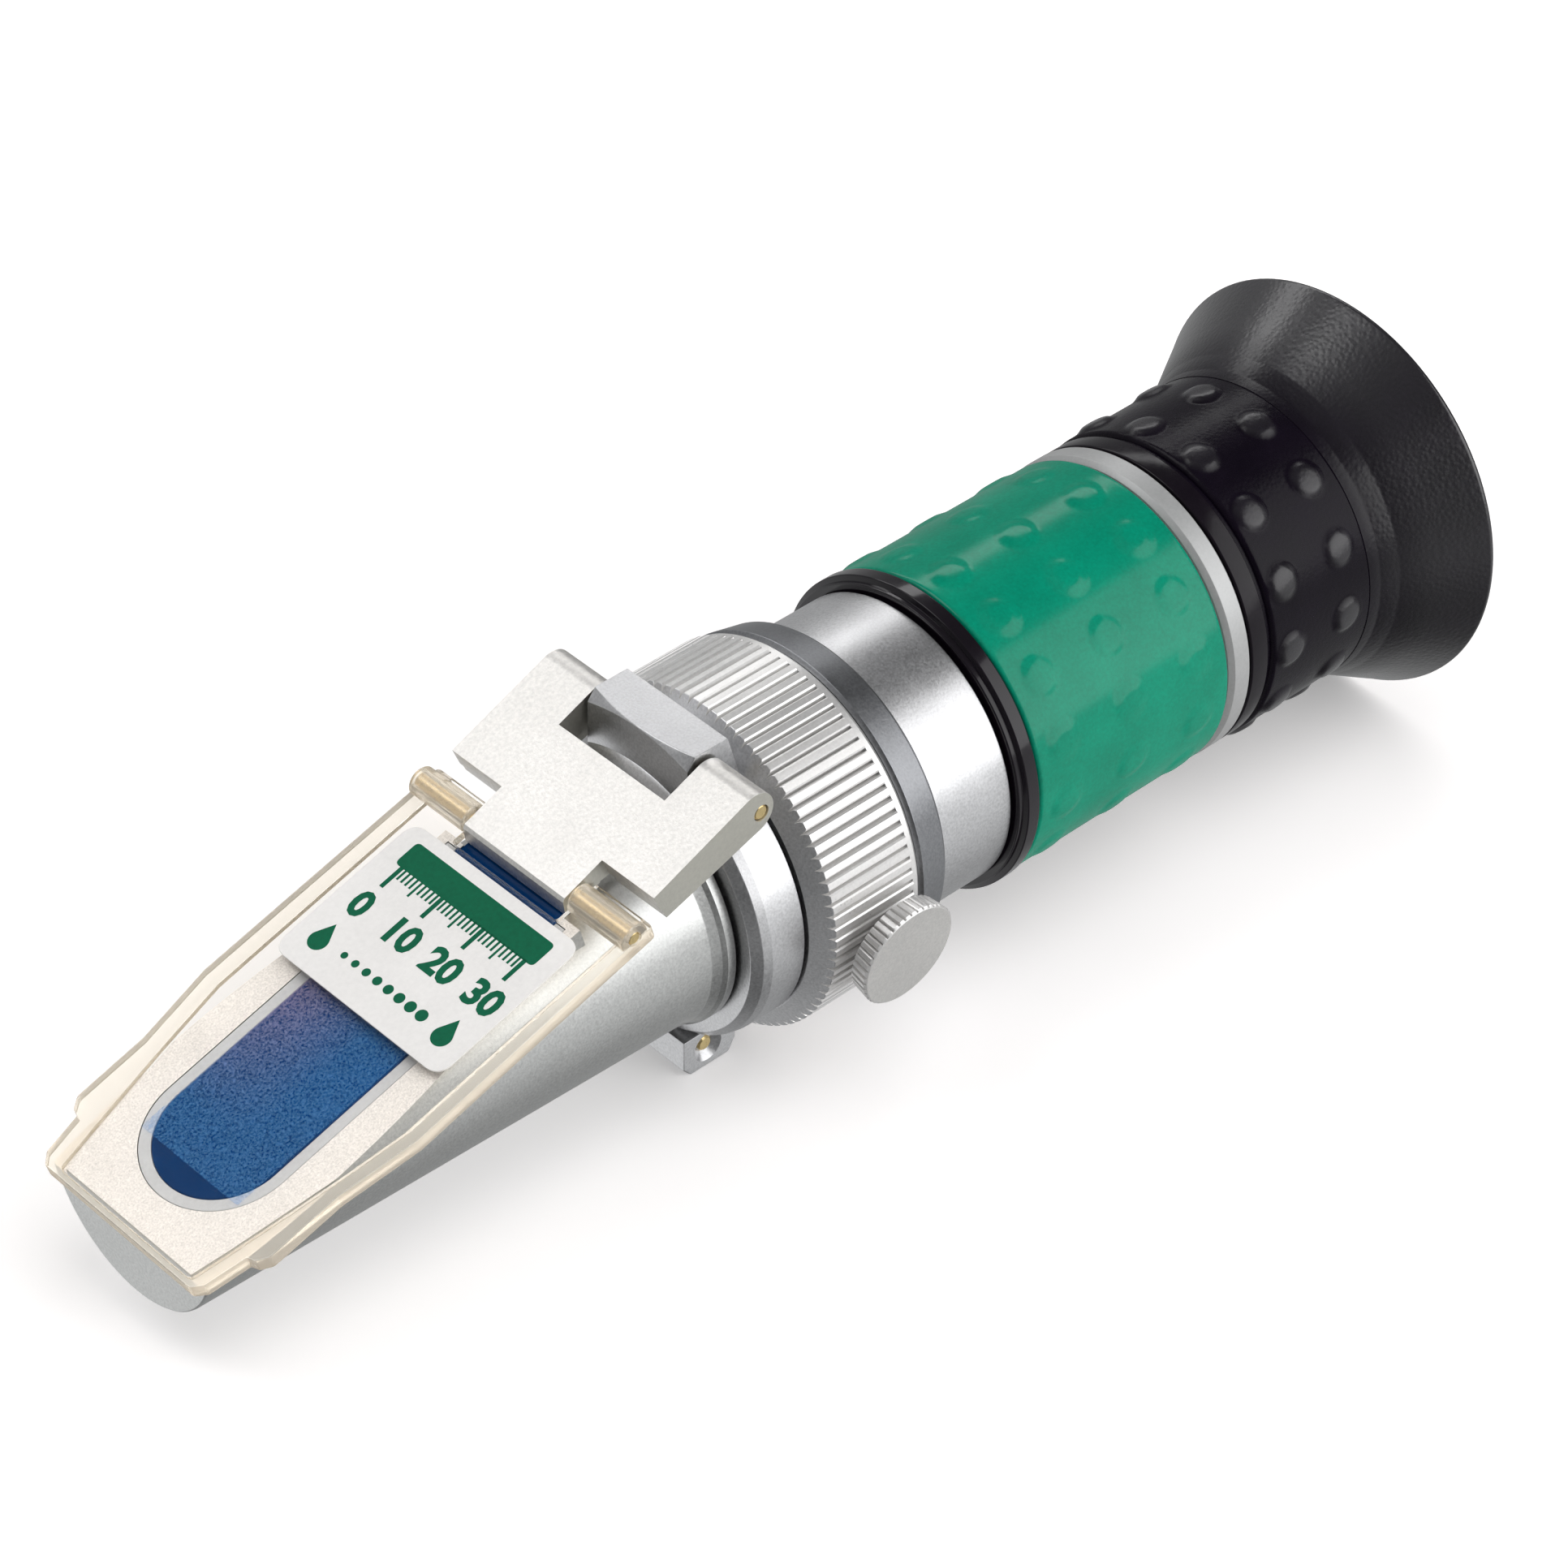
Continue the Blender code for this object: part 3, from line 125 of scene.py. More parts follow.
def arc(centre, radius, start, end, count):
    """Points on an arc, with its angles in degrees."""
    points = []
    for i in range(count + 1):
        angle = math.radians(start + (end - start) * i / count)
        points.append((centre[0] + radius * math.cos(angle), centre[1] + radius * math.sin(angle)))
    return points


def mirrored(half):
    """An outline from its half at positive y, whose points run to the mid line."""
    return half + [(x, -y) for x, y in reversed(half)]


def rounded(points, radius, closed=True, cuts=3):
    """Round a polyline's corners. A point may carry its own radius as a third value."""
    count = len(points)
    result = []
    for i, point in enumerate(points):
        here = Vector(point[:2])
        if not closed and i in (0, count - 1):
            result.append(tuple(here))
            continue
        before = Vector(points[i - 1][:2])
        after = Vector(points[(i + 1) % count][:2])
        back, ahead = before - here, after - here
        if back.length < 1e-6 or ahead.length < 1e-6:
            result.append(tuple(here))
            continue
        turn = math.pi - back.angle(ahead)
        size = point[2] if len(point) > 2 else radius
        if turn < math.radians(7.0) or size <= 0.0:
            result.append(tuple(here))
            continue
        reach = min(size * math.tan(turn / 2.0), 0.45 * back.length, 0.45 * ahead.length)
        start = here + back.normalized() * reach
        end = here + ahead.normalized() * reach
        for k in range(cuts + 1):
            t = k / cuts
            result.append(tuple(start * (1 - t) ** 2 + here * 2 * t * (1 - t) + end * t * t))
    return result


def mesh_from(name, vertices, faces, matrix):
    mesh = bpy.data.meshes.new(name)
    mesh.from_pydata([tuple((matrix @ Vector(v)) * MM) for v in vertices], [], faces)
    work = bmesh.new()
    work.from_mesh(mesh)
    bmesh.ops.remove_doubles(work, verts=work.verts, dist=1e-7)
    bmesh.ops.recalc_face_normals(work, faces=work.faces)
    work.to_mesh(mesh)
    work.free()
    return mesh


def turned_mesh(name, profile, matrix=AXIS, steps=LATHE_STEPS, shape=None):
    """Turn a closed (station, radius) profile about local Z. shape may move a ring's points:
    it gets the profile's index, the angle and the (station, radius) pair."""
    vertices, faces = [], []
    count = len(profile)
    for i, point in enumerate(profile):
        for k in range(steps):
            angle = 2.0 * math.pi * k / steps
            station, radius = point if shape is None else shape(i, angle, point)
            vertices.append((radius * math.cos(angle), radius * math.sin(angle), station))
    for i in range(count):
        j = (i + 1) % count
        if profile[i][1] < 1e-6 and profile[j][1] < 1e-6:
            continue
        for k in range(steps):
            n = (k + 1) % steps
            quad = (i * steps + k, i * steps + n, j * steps + n, j * steps + k)
            if profile[i][1] < 1e-6:
                quad = (i * steps, quad[2], quad[3])
            elif profile[j][1] < 1e-6:
                quad = (quad[0], quad[1], j * steps)
            faces.append(quad)
    mesh = mesh_from(name, vertices, faces, matrix)
    work = bmesh.new()
    work.from_mesh(mesh)
    loose = [v for v in work.verts if not v.link_faces]
    bmesh.ops.delete(work, geom=loose, context="VERTS")
    work.to_mesh(mesh)
    work.free()
    return mesh


def prism_mesh(name, outline, low, high, matrix):
    """Extrude a flat outline from low to high along the frame's local Z."""
    count = len(outline)
    vertices = [(x, y, low) for x, y in outline] + [(x, y, high) for x, y in outline]
    faces = [tuple(range(count - 1, -1, -1)), tuple(range(count, 2 * count))]
    for i in range(count):
        j = (i + 1) % count
        faces.append((i, j, count + j, count + i))
    return mesh_from(name, vertices, faces, matrix)


def side_mesh(name, outline, low, high, matrix):
    """Extrude an outline drawn in the frame's XZ plane, from y = low to y = high."""
    turn = matrix @ Matrix.Rotation(math.radians(90.0), 4, "X")
    return prism_mesh(name, outline, -high, -low, turn)


def rod_mesh(name, radius, low, high, matrix, chamfer=0.0):
    """A round rod along the frame's local Z."""
    profile = [(low, 0.0), (low, radius - chamfer)]
    if chamfer > 0.0:
        profile += [(low + chamfer, radius), (high - chamfer, radius), (high, radius - chamfer)]
    else:
        profile += [(high, radius)]
    profile += [(high, 0.0)]
    return turned_mesh(name, profile, matrix, 48)


def as_object(name, mesh):
    item = bpy.data.objects.new(name, mesh)
    bpy.context.scene.collection.objects.link(item)
    return item


def baked(item):
    """Apply an object's modifiers."""
    graph = bpy.context.evaluated_depsgraph_get()
    mesh = bpy.data.meshes.new_from_object(item.evaluated_get(graph))
    item.modifiers.clear()
    old = item.data
    item.data = mesh
    bpy.data.meshes.remove(old)


def combined(item, mesh, operation="DIFFERENCE"):
    """Boolean with a throwaway tool mesh, applied at once."""
    tool = as_object("tool", mesh)
    step = item.modifiers.new("boolean", "BOOLEAN")
    step.operation = operation
    step.object = tool
    step.solver = "EXACT"
    baked(item)
    bpy.data.objects.remove(tool, do_unlink=True)


def merged(item, part, operation="UNION"):
    """Boolean with another object, which is used up."""
    combined(item, part.data.copy(), operation)
    bpy.data.objects.remove(part, do_unlink=True)


def bevelled(item, width, segments=2, angle=32.0):
    """Round the edges sharper than an angle in degrees."""
    step = item.modifiers.new("bevel", "BEVEL")
    step.width = width * MM
    step.segments = segments
    step.limit_method = "ANGLE"
    step.angle_limit = math.radians(angle)
    step.miter_outer = "MITER_ARC"
    step.harden_normals = False
    baked(item)


def finished(item, look, body, nodes=(), crease=38.0):
    """Shade, colour and attach a piece."""
    item.data.materials.clear()
    item.data.materials.append(look)
    for face in item.data.polygons:
        face.use_smooth = True
        face.material_index = 0
    item.data.set_sharp_from_angle(angle=math.radians(crease))
    weigh = item.modifiers.new("normals", "WEIGHTED_NORMAL")
    weigh.keep_sharp = True
    weigh.weight = 80
    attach(item, body)
    if nodes:
        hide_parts(*nodes)
    return item


def faced(item, look, wanted):
    """Give a second look to the faces that wanted(face) picks."""
    item.data.materials.append(look)
    for face in item.data.polygons:
        if wanted(face):
            face.material_index = len(item.data.materials) - 1


# ---------------------------------------------------------------- materials

class Look:
    """A Principled material with short ways to add nodes."""

    def __init__(self, name, colour, roughness, metallic=0.0, **sockets):
        self.material = bpy.data.materials.new(name)
        self.material.use_nodes = True
        self.tree = self.material.node_tree
        self.shader = self.tree.nodes["Principled BSDF"]
        self.output = self.tree.nodes["Material Output"]
        self.set("Base Color", (*colour, 1.0))
        self.set("Roughness", roughness)
        self.set("Metallic", metallic)
        for label, value in sockets.items():
            self.set(label.replace("_", " "), value)
        self.coords = self.tree.nodes.new("ShaderNodeTexCoord").outputs["Object"]

    def set(self, label, value):
        self.shader.inputs[label].default_value = value

    def node(self, kind, links=(), **values):
        node = self.tree.nodes.new(kind)
        for key, value in values.items():
            setattr(node, key, value)
        for socket, source in links:
            if isinstance(source, bpy.types.NodeSocket):
                self.tree.links.new(source, node.inputs[socket])
            else:
                node.inputs[socket].default_value = source
        return node

    def link(self, source, label):
        self.tree.links.new(source, self.shader.inputs[label])

    def stretched(self, scale):
        """Object coordinates scaled per axis."""
        node = self.node("ShaderNodeMapping", [("Vector", self.coords), ("Scale", scale)])
        return node.outputs[0]

    def place(self):
        """Object coordinates as separate X, Y and Z outputs."""
        return self.node("ShaderNodeSeparateXYZ", [(0, self.coords)]).outputs

    def noise(self, scale, detail, rough, coords=None):
        node = self.node("ShaderNodeTexNoise", [("Vector", coords or self.coords), ("Scale", scale),
                                                ("Detail", detail), ("Roughness", rough)])
        return node.outputs["Fac"]

    def pebbles(self, scale, smooth):
        node = self.node("ShaderNodeTexVoronoi", [("Vector", self.coords), ("Scale", scale),
                                                  ("Smoothness", smooth)], feature="SMOOTH_F1")
        return node.outputs["Distance"]

    def ranged(self, source, low, high, out_low, out_high):
        node = self.node("ShaderNodeMapRange", [("Value", source), ("From Min", low),
                                                ("From Max", high), ("To Min", out_low),
                                                ("To Max", out_high)])
        return node.outputs[0]

    def sums(self, first, second, operation="ADD"):
        node = self.node("ShaderNodeMath", [(0, first), (1, second)], operation=operation)
        return node.outputs[0]

    def blended(self, factor, first, second):
        node = self.node("ShaderNodeMix", data_type="RGBA")
        for index, value in ((0, factor), (6, first), (7, second)):
            if isinstance(value, bpy.types.NodeSocket):
                self.tree.links.new(value, node.inputs[index])
            else:
                node.inputs[index].default_value = value
        return node.outputs[2]

    def dome_mask(self, rows, columns, radius, size, start):
        """1 on the domes of a bumpy sleeve, 0 between them. It takes bumpy_mesh's own domes."""
        place = self.place()
        level = self.sums(place["Z"], -AXIS_Z * MM)
        angle = self.sums(level, place["Y"], "ARCTAN2")
        angle = self.sums(angle, -math.radians(start))
        angle = self.sums(angle, math.pi / rows, "PINGPONG")
        around = self.sums(angle, radius * MM, "MULTIPLY")
        along = self.sums(place["X"], -columns[0] * MM)
        along = self.sums(along, (columns[1] - columns[0]) / 2.0 * MM, "PINGPONG")
        square = self.sums(self.sums(around, 2.0, "POWER"), self.sums(along, 2.0, "POWER"))
        reach = self.sums(square, 0.5, "POWER")
        return self.ranged(reach, 0.95 * size * MM, 0.6 * size * MM, 0.0, 1.0)

    def bumped(self, height, distance, strength=1.0, label="Normal"):
        node = self.node("ShaderNodeBump", [("Height", height), ("Distance", distance * MM),
                                            ("Strength", strength)])
        self.link(node.outputs[0], label)

    def mixed(self, factor, first, second):
        """Send a mix of two shaders to the output."""
        mix = self.node("ShaderNodeMixShader", [(0, factor), (1, first), (2, second)])
        self.tree.links.new(mix.outputs[0], self.output.inputs["Surface"])


def shade(colour, factor):
    """A colour made darker or lighter, with its alpha."""
    return tuple(c * factor for c in colour[:3]) + (1.0,)


def grainy(name, colour, roughness, metallic, grain=4200.0, depth=0.012, spread=0.16, **sockets):
    """Blasted or cast metal: fine speckle in colour, roughness and height, with faint blotches."""
    look = Look(name, colour, roughness, metallic, **sockets)
    speck = look.noise(grain, 3.0, 0.65)
    blotch = look.noise(160.0, 3.0, 0.6)
    mixed = look.sums(look.ranged(speck, 0.3, 0.7, -spread, spread),
                      look.ranged(blotch, 0.3, 0.7, -0.03, 0.03))
    level = look.ranged(mixed, -0.5, 0.5, 0.0, 1.0)
    look.link(look.blended(level, shade(colour, 0.5), shade(colour, 1.5)), "Base Color")
    look.link(look.ranged(look.sums(speck, blotch), 0.7, 1.3, roughness - 0.07, roughness + 0.07),
              "Roughness")
    look.bumped(speck, depth, 0.8)
    return look.material


def brushed(name, colour, roughness, grain):
    """Turned metal with faint tool lines. grain is their scale along each axis."""
    look = Look(name, colour, roughness, 1.0)
    lines = look.noise(1.0, 3.0, 0.7, look.stretched(grain))
    speck = look.noise(5000.0, 2.0, 0.6)
    look.link(look.blended(look.ranged(lines, 0.25, 0.75, 0.0, 1.0), shade(colour, 0.82),
                           shade(colour, 1.12)), "Base Color")
    look.link(look.ranged(speck, 0.3, 0.7, roughness - 0.06, roughness + 0.08), "Roughness")
    look.bumped(lines, 0.004, 0.6)
    return look.material


def rubber(name, colour, roughness, cell, depth, shine, coat=0.0, coat_roughness=0.08,
           coat_ior=1.5, fade=None, domes=None):
    """Moulded rubber with a leather-like grain. fade names the stations along X over which
    the coat comes up from a dull start, and domes the sleeve whose domes alone are coated."""
    look = Look(name, colour, roughness, 0.0, Coat_Weight=coat, Coat_Roughness=coat_roughness,
                Coat_IOR=coat_ior, Specular_IOR_Level=shine)
    pebbles = look.pebbles(cell, 0.6)
    fine = look.noise(cell * 3.0, 3.0, 0.6)
    height = look.sums(look.ranged(pebbles, 0.0, 0.7, 1.0, 0.0), look.sums(fine, 0.25, "MULTIPLY"))
    dust = look.noise(220.0, 4.0, 0.65)
    look.link(look.blended(look.ranged(dust, 0.35, 0.75, 0.0, 1.0), shade(colour, 0.8),
                           shade(colour, 1.35)), "Base Color")
    look.link(look.ranged(look.sums(fine, dust), 0.7, 1.3, roughness - 0.05, roughness + 0.09),
              "Roughness")
    look.bumped(height, depth, 0.75)
    if fade:
        share = look.ranged(look.place()["X"], fade[0] * MM, fade[1] * MM, 0.0, coat)
    elif domes:
        share = look.sums(look.dome_mask(*domes), coat, "MULTIPLY")
    if fade or domes:
        look.bumped(height, depth, 0.75, "Coat Normal")
        look.link(share, "Coat Weight")
    return look.material


def clear(name, tint, roughness, clarity=1.0, edge=None):
    """Clear plastic that lets the lamps through to what it covers. edge is its deeper tint
    where it is seen along its surface."""
    look = Look(name, tint, roughness, 0.0, IOR=1.49)
    look.set("Transmission Weight", clarity)
    if edge:
        facing = look.node("ShaderNodeLayerWeight", [("Blend", 0.35)]).outputs["Facing"]
        look.link(look.blended(facing, (*tint, 1.0), (*edge, 1.0)), "Base Color")
    wear = look.noise(900.0, 4.0, 0.65)
    look.link(look.ranged(wear, 0.35, 0.75, roughness, roughness + 0.05), "Roughness")
    waves = look.noise(260.0, 1.0, 0.4)
    look.bumped(waves, 0.02, 0.25)
    through = look.node("ShaderNodeBsdfTransparent", [("Color", (0.93, 0.92, 0.9, 1.0))])
    path = look.node("ShaderNodeLightPath")
    look.mixed(path.outputs["Is Shadow Ray"], look.shader.outputs[0], through.outputs[0])
    return look.material


def green_rubber():
    """The grip's green rubber under a thin gloss."""
    look = Look("green_grip_rubber", (0.0, 0.27, 0.15), 0.26, 0.0, Coat_Weight=0.5,
                Coat_Roughness=0.17, Specular_IOR_Level=0.0)
    grain = look.noise(3200.0, 3.0, 0.6)
    blotch = look.noise(140.0, 3.0, 0.6)
    look.link(look.blended(look.ranged(look.sums(grain, blotch), 0.7, 1.3, 0.0, 1.0),
                           (0.0, 0.20, 0.12, 1.0), (0.0, 0.28, 0.17, 1.0)), "Base Color")
    look.link(look.ranged(grain, 0.3, 0.7, 0.2, 0.32), "Roughness")
    look.bumped(grain, 0.006, 0.6)
    return look.material


def coated_lens():
    """Lens glass with a faint haze of wiping marks."""
    look = Look("coated_lens", (0.9, 0.93, 0.97), 0.01, 0.0, IOR=1.52, Coat_Weight=0.4)
    look.set("Transmission Weight", 0.92)
    haze = look.noise(300.0, 3.0, 0.6)
    look.link(look.ranged(haze, 0.3, 0.7, 0.01, 0.04), "Roughness")
    return look.material


def blue_prism():
    """The prism's face, which looks deep blue, with fine scuffs."""
    look = Look("blue_prism", (0.001, 0.028, 0.12), 0.1, 0.0, Specular_IOR_Level=0.1)
    depth = look.noise(90.0, 2.0, 0.5)
    look.link(look.blended(look.ranged(depth, 0.35, 0.7, 0.0, 1.0), (0.0, 0.030, 0.125, 1.0),
                           (0.001, 0.045, 0.17, 1.0)), "Base Color")
    scuff = look.noise(1600.0, 4.0, 0.6)
    look.link(look.ranged(scuff, 0.3, 0.75, 0.06, 0.16), "Roughness")
    return look.material


def frosted_patch():
    """The plate's diffusing patch: a grain of fine specks, pinker at its rear on the +Y side."""
    look = Look("frosted_patch", (0.30, 0.40, 0.62), 0.5, 0.0, Specular_IOR_Level=0.0)
    grain = look.noise(4600.0, 3.0, 0.75)
    place = look.place()
    side = look.ranged(place["Y"], -0.002, 0.006, 0.0, 1.0)
    rear = look.ranged(place["X"], -0.046, -0.034, 0.0, 1.0)
    look.link(look.blended(look.sums(side, rear, "MULTIPLY"), (0.10, 0.38, 0.88, 1.0),
                           (0.62, 0.50, 0.80, 1.0)), "Base Color")
    through = look.node("ShaderNodeBsdfTransparent", [("Color", (1.0, 1.0, 1.0, 1.0))])
    veil = look.ranged(grain, 0.38, 0.62, 0.0, 0.2)
    look.mixed(veil, through.outputs[0], look.shader.outputs[0])
    return look.material


def make_looks():
    """Every look by its short name."""
    return {
        "satin": grainy("satin_alloy", (0.66, 0.66, 0.67), 0.36, 1.0),
        "nose": grainy("nose_alloy", (0.61, 0.615, 0.605), 0.38, 1.0),
        "deck": grainy("deck_alloy", (0.90, 0.875, 0.87), 0.45, 0.3,
                       grain=6000.0, depth=0.007, spread=0.2),
        # A darker copy of the satin alloy: painted shade for the shoulder cone, which mirrors the
        # dark room.
        "shoulder": grainy("shoulder_alloy_painted_shade", (0.31, 0.315, 0.33), 0.36, 1.0),
        "bracket": grainy("bracket_cast", (0.88, 0.86, 0.83), 0.44, 0.92,
                          grain=3000.0, depth=0.02, spread=0.13),
        # A darker copy of the bracket's cast look: painted shade for its flanks.
        "painted_shade_flank": grainy("bracket_flank_painted_shade", (0.62, 0.61, 0.55), 0.42, 0.92,
                        grain=2600.0, depth=0.02, spread=0.07),
        "knurl": grainy("knurl_alloy", (0.80, 0.79, 0.78), 0.34, 0.7,
                        grain=4200.0, depth=0.003, spread=0.06),
        "knob_face": grainy("knob_alloy", (0.75, 0.74, 0.72), 0.5, 0.85,
                            grain=3800.0, depth=0.008, spread=0.08),
        "trim": grainy("trim_alloy", (0.455, 0.46, 0.46), 0.44, 0.5,
                       grain=3200.0, depth=0.006, spread=0.06),
        "brass": brushed("turned_brass", (0.78, 0.61, 0.30), 0.3, (4000.0, 4000.0, 900.0)),
        "gloss": rubber("gloss_black", (0.005, 0.003, 0.006), 0.14,
                        cell=500.0, depth=0.001, shine=0.2, coat=0.4),
        "green": green_rubber(),
        "black": rubber("black_rubber_grain", (0.004, 0.0022, 0.006), 0.25, cell=2600.0,
                        depth=0.012, shine=0.12, coat=0.95, coat_roughness=0.3,
                        domes=FOCUS_DOMES),
        "smooth_black": rubber("black_rubber_smooth", (0.005, 0.003, 0.006), 0.18,
                               cell=700.0, depth=0.002, shine=0.22),
        "cup": rubber("eyecup_rubber_grain", (0.004, 0.0022, 0.006), 0.29, cell=2400.0,
                      depth=0.018, shine=0.2, coat=1.0, coat_roughness=0.28, coat_ior=1.65,
                      fade=(71.5, 77.0)),
        "matt": grainy("matt_black_metal", (0.012, 0.012, 0.013), 0.6, 0.2,
                       grain=3000.0, depth=0.01, spread=0.2),
        "clear": clear("clear_plate", (0.985, 0.965, 0.93), 0.02),
        "rim": clear("clear_rim", (0.96, 0.91, 0.82), 0.12, clarity=0.66,
                     edge=(0.72, 0.58, 0.38)),
        "knuckle": clear("clear_knuckle", (0.97, 0.92, 0.82), 0.2, clarity=0.8,
                         edge=(0.80, 0.66, 0.44)),
        "lens": coated_lens(),
        "seal": grainy("cured_sealant", (0.60, 0.62, 0.66), 0.55, 0.0,
                       grain=2500.0, depth=0.01, spread=0.06),
        "label": grainy("label_film", (0.92, 0.90, 0.88), 0.42, 0.0,
                        grain=2500.0, depth=0.003, spread=0.03, Specular_IOR_Level=0.25),
        "ink": grainy("label_ink", (0.0, 0.125, 0.058), 0.45, 0.0,
                      grain=2500.0, depth=0.003, spread=0.1, Specular_IOR_Level=0.15),
        "prism": blue_prism(),
        "frost": frosted_patch(),
    }


# ---------------------------------------------------------------- turned pieces

def ring(name, outer, inner, look, body, nodes, fillet=0.12):
    """A ring round the optical axis, from its outer and inner (station, radius) lines."""
    profile = rounded(list(outer) + list(reversed(inner)), fillet)
    item = as_object(name, turned_mesh(name, profile))
    finished(item, look, body, nodes)


def window_outline(half_width, rear):
    """The prism window on the deck: a half circle in front and a square rear end."""
    front = arc((-48.1, 0.0), half_width, 90.0, 270.0, 40)
    return front + [(rear, -half_width), (rear, half_width)]


def build_housing(looks):
    profile = [(-56.0, 0.0)] + rounded([
        (-56.0, 0.0), (-56.0, 10.1, 0.35), (-10.0, 11.1), (-6.1, 11.15, 0.6), (-4.6, 11.3, 0.6),
        (-3.7, 11.6, 0.3), (-3.3, 11.85, 0.1), (-2.4, 11.85, 0.12), (-2.4, 9.9, 0.1), (-9.0, 9.9),
        (-9.0, 0.0)], 0.15, closed=False)[1:]
    item = as_object("housing_shell", turned_mesh("housing_shell", profile, AXIS, FINE_STEPS))
    field = [(-80.0, -20.0), (8.0, -20.0), (8.0, 20.0), (-80.0, 20.0)]
    combined(item, prism_mesh("above", field, 0.0, 20.0, DECK))
    pad = rounded(mirrored([(-8.0, 12.5), (-38.95, 11.25), (-45.95, 10.2), (-54.95, 8.6),
                            (-58.7, 7.8)]), 0.5)
    ledge = as_object("ledge", prism_mesh("ledge", [(-70.0, -20.0), (-9.0, -20.0), (-9.0, 20.0),
                                                    (-70.0, 20.0)], -0.66, 3.0, DECK))
    combined(ledge, prism_mesh("pad", pad, -2.0, 4.0, DECK))
    merged(item, ledge, "DIFFERENCE")
    rear = mirrored([(-36.0, 8.2), (-16.8, 8.2)])
    combined(item, prism_mesh("rear_deck", rear, -5.0, -0.001, DECK), "UNION")
    combined(item, prism_mesh("pocket", window_outline(7.2, -17.45), -2.0, 1.0, DECK))
    combined(item, prism_mesh("pocket", window_outline(6.1, -16.0), -2.0, 1.0, DECK))
    finished(item, looks["nose"], "barrel", ["prism_housing"], 30.0)
    # The face under the plate is milled brighter than the blasted outside.
    up = DECK.to_3x3() @ Vector((0.0, 0.0, 1.0))
    faced(item, looks["deck"], lambda face: face.normal.dot(up) > 0.999)


def build_window(looks):
    block = prism_mesh("prism_block", window_outline(6.05, -16.05), -1.8, 0.0, DECK)
    item = as_object("prism_block", block)
    bevelled(item, 0.08, 1)
    finished(item, looks["prism"], "barrel", ["main_prism"])
    seal = prism_mesh("sealant_ring", window_outline(7.16, -17.5), -1.4, 0.0, DECK)
    item = as_object("sealant_ring", seal)
    combined(item, prism_mesh("hole", window_outline(6.08, -17.0), -3.0, 2.0, DECK))
    bevelled(item, 0.12, 2)
    finished(item, looks["seal"], "barrel", ["prism_seal"])


def build_collar(looks):
    profile = rounded([(-2.1, 10.1), (-2.1, 13.2, 0.15), (-1.3, 13.9, 0.3), (-0.4, 14.1, 0.4),
                       (3.2, 14.1, 0.18), (3.2, 10.1)], 0.1)
    item = as_object("hinge_collar_body", turned_mesh("collar", profile))
    block = as_object("block", side_mesh("block", [(-2.7, 12.6), (3.0, 12.6), (3.0, 13.9),
                                                   (1.7, 18.1), (-2.7, 18.1)], -6.05, 6.05, ROOT))
    # The chamfer on the block's upper front edge is turned round the optical axis.
    envelope = [(-5.0, 0.0), (-5.0, 17.9), (-2.7, 18.0), (-1.75, 19.2), (5.0, 19.6), (5.0, 0.0)]
    combined(block, turned_mesh("envelope", envelope, AXIS, FINE_STEPS), "INTERSECT")
    bevelled(block, 0.1, 2, 30.0)
    lug = as_object("lug", side_mesh("lug", [(-2.95, -12.6), (-2.95, -15.75), (LUG_FRONT, -AXIS_Z),
                                             (2.25, -AXIS_Z), (3.0, -15.35), (3.0, -12.6)],
                                     -6.2, 6.2, ROOT))
    bevelled(lug, 0.16, 2, 20.0)
    # The collar's rounded front edge, which shows in the bracket's notch.
    lip = [(-3.4, 12.3), (-3.4, 12.9), (-3.2, 13.45), (-2.85, 13.95), (-2.6, 14.15), (-2.0, 14.2),
           (-2.0, 12.3)]
    rib = as_object("rib", turned_mesh("rib", lip, AXIS, FINE_STEPS))
    combined(rib, side_mesh("span", [(-5.0, 5.0), (0.0, 5.0), (0.0, 20.0), (-5.0, 20.0)],
                            -5.95, 5.95, ROOT), "INTERSECT")
    for part in (block, lug, rib):
        merged(item, part)
    combined(item, rod_mesh("hole", PIN_HOLE, -9.0, 9.0, COVER_PIN))
    combined(item, rod_mesh("hole", PIN_HOLE, -9.0, 9.0, LUG_PIN))
    for side in (-1.0, 1.0):
        sink = [(side * 6.4, 0.0), (side * 6.4, 1.75), (side * 5.55, 0.8), (side * 5.55, 0.0)]
        combined(item, turned_mesh("sink", sink, LUG_PIN, 48))
    finished(item, looks["satin"], "barrel", ["hinge_collar"], 30.0)
    pin = as_object("cover_pin_brass", rod_mesh("pin", 0.7, -12.22, 12.22, COVER_PIN, 0.12))
    finished(pin, looks["brass"], "barrel", ["cover_pin"])
    pin = as_object("lug_pin_brass", rod_mesh("pin", 0.72, -5.85, 5.85, LUG_PIN, 0.14))
    finished(pin, looks["brass"], "barrel", ["lug_pin"])


def build_barrel(looks):
    ring("barrel_tube", [(-8.5, 9.6), (3.5, 9.6), (3.5, 12.7), (18.7, 12.7), (18.7, 13.8),
                         (27.4, 13.8), (27.4, 12.6), (57.5, 12.6)],
         [(-8.5, 8.3), (5.0, 8.3), (5.0, 10.8), (57.5, 10.8)], looks["satin"], "barrel",
         ["main_tube"])
    # The shoulder cone's darker alloy is painted shade.
    ring("shoulder_cone", [(14.78, 15.5, 0.1), (15.1, 15.88, 0.1), (18.05, 15.3, 0.12),
                           (18.4, 15.0, 0.1)], [(14.78, 13.0), (18.4, 13.0)], looks["shoulder"],
         "barrel", ["shoulder_ring"])
    ring("grip_ring_front", [(27.7, 14.45, 0.12), (28.2, 14.45, 0.05), (28.35, 14.97, 0.14),
                             (29.7, 14.97, 0.16)], [(27.7, 12.9), (29.7, 12.9)], looks["gloss"],
         "barrel", ["grip_front_ring"])
    ring("grip_ring_rear", [(53.5, 14.4, 0.05), (53.95, 14.82, 0.1), (55.8, 14.82, 0.15)],
         [(53.5, 12.9), (55.8, 12.9)], looks["trim"], "barrel", ["grip_rear_ring"])


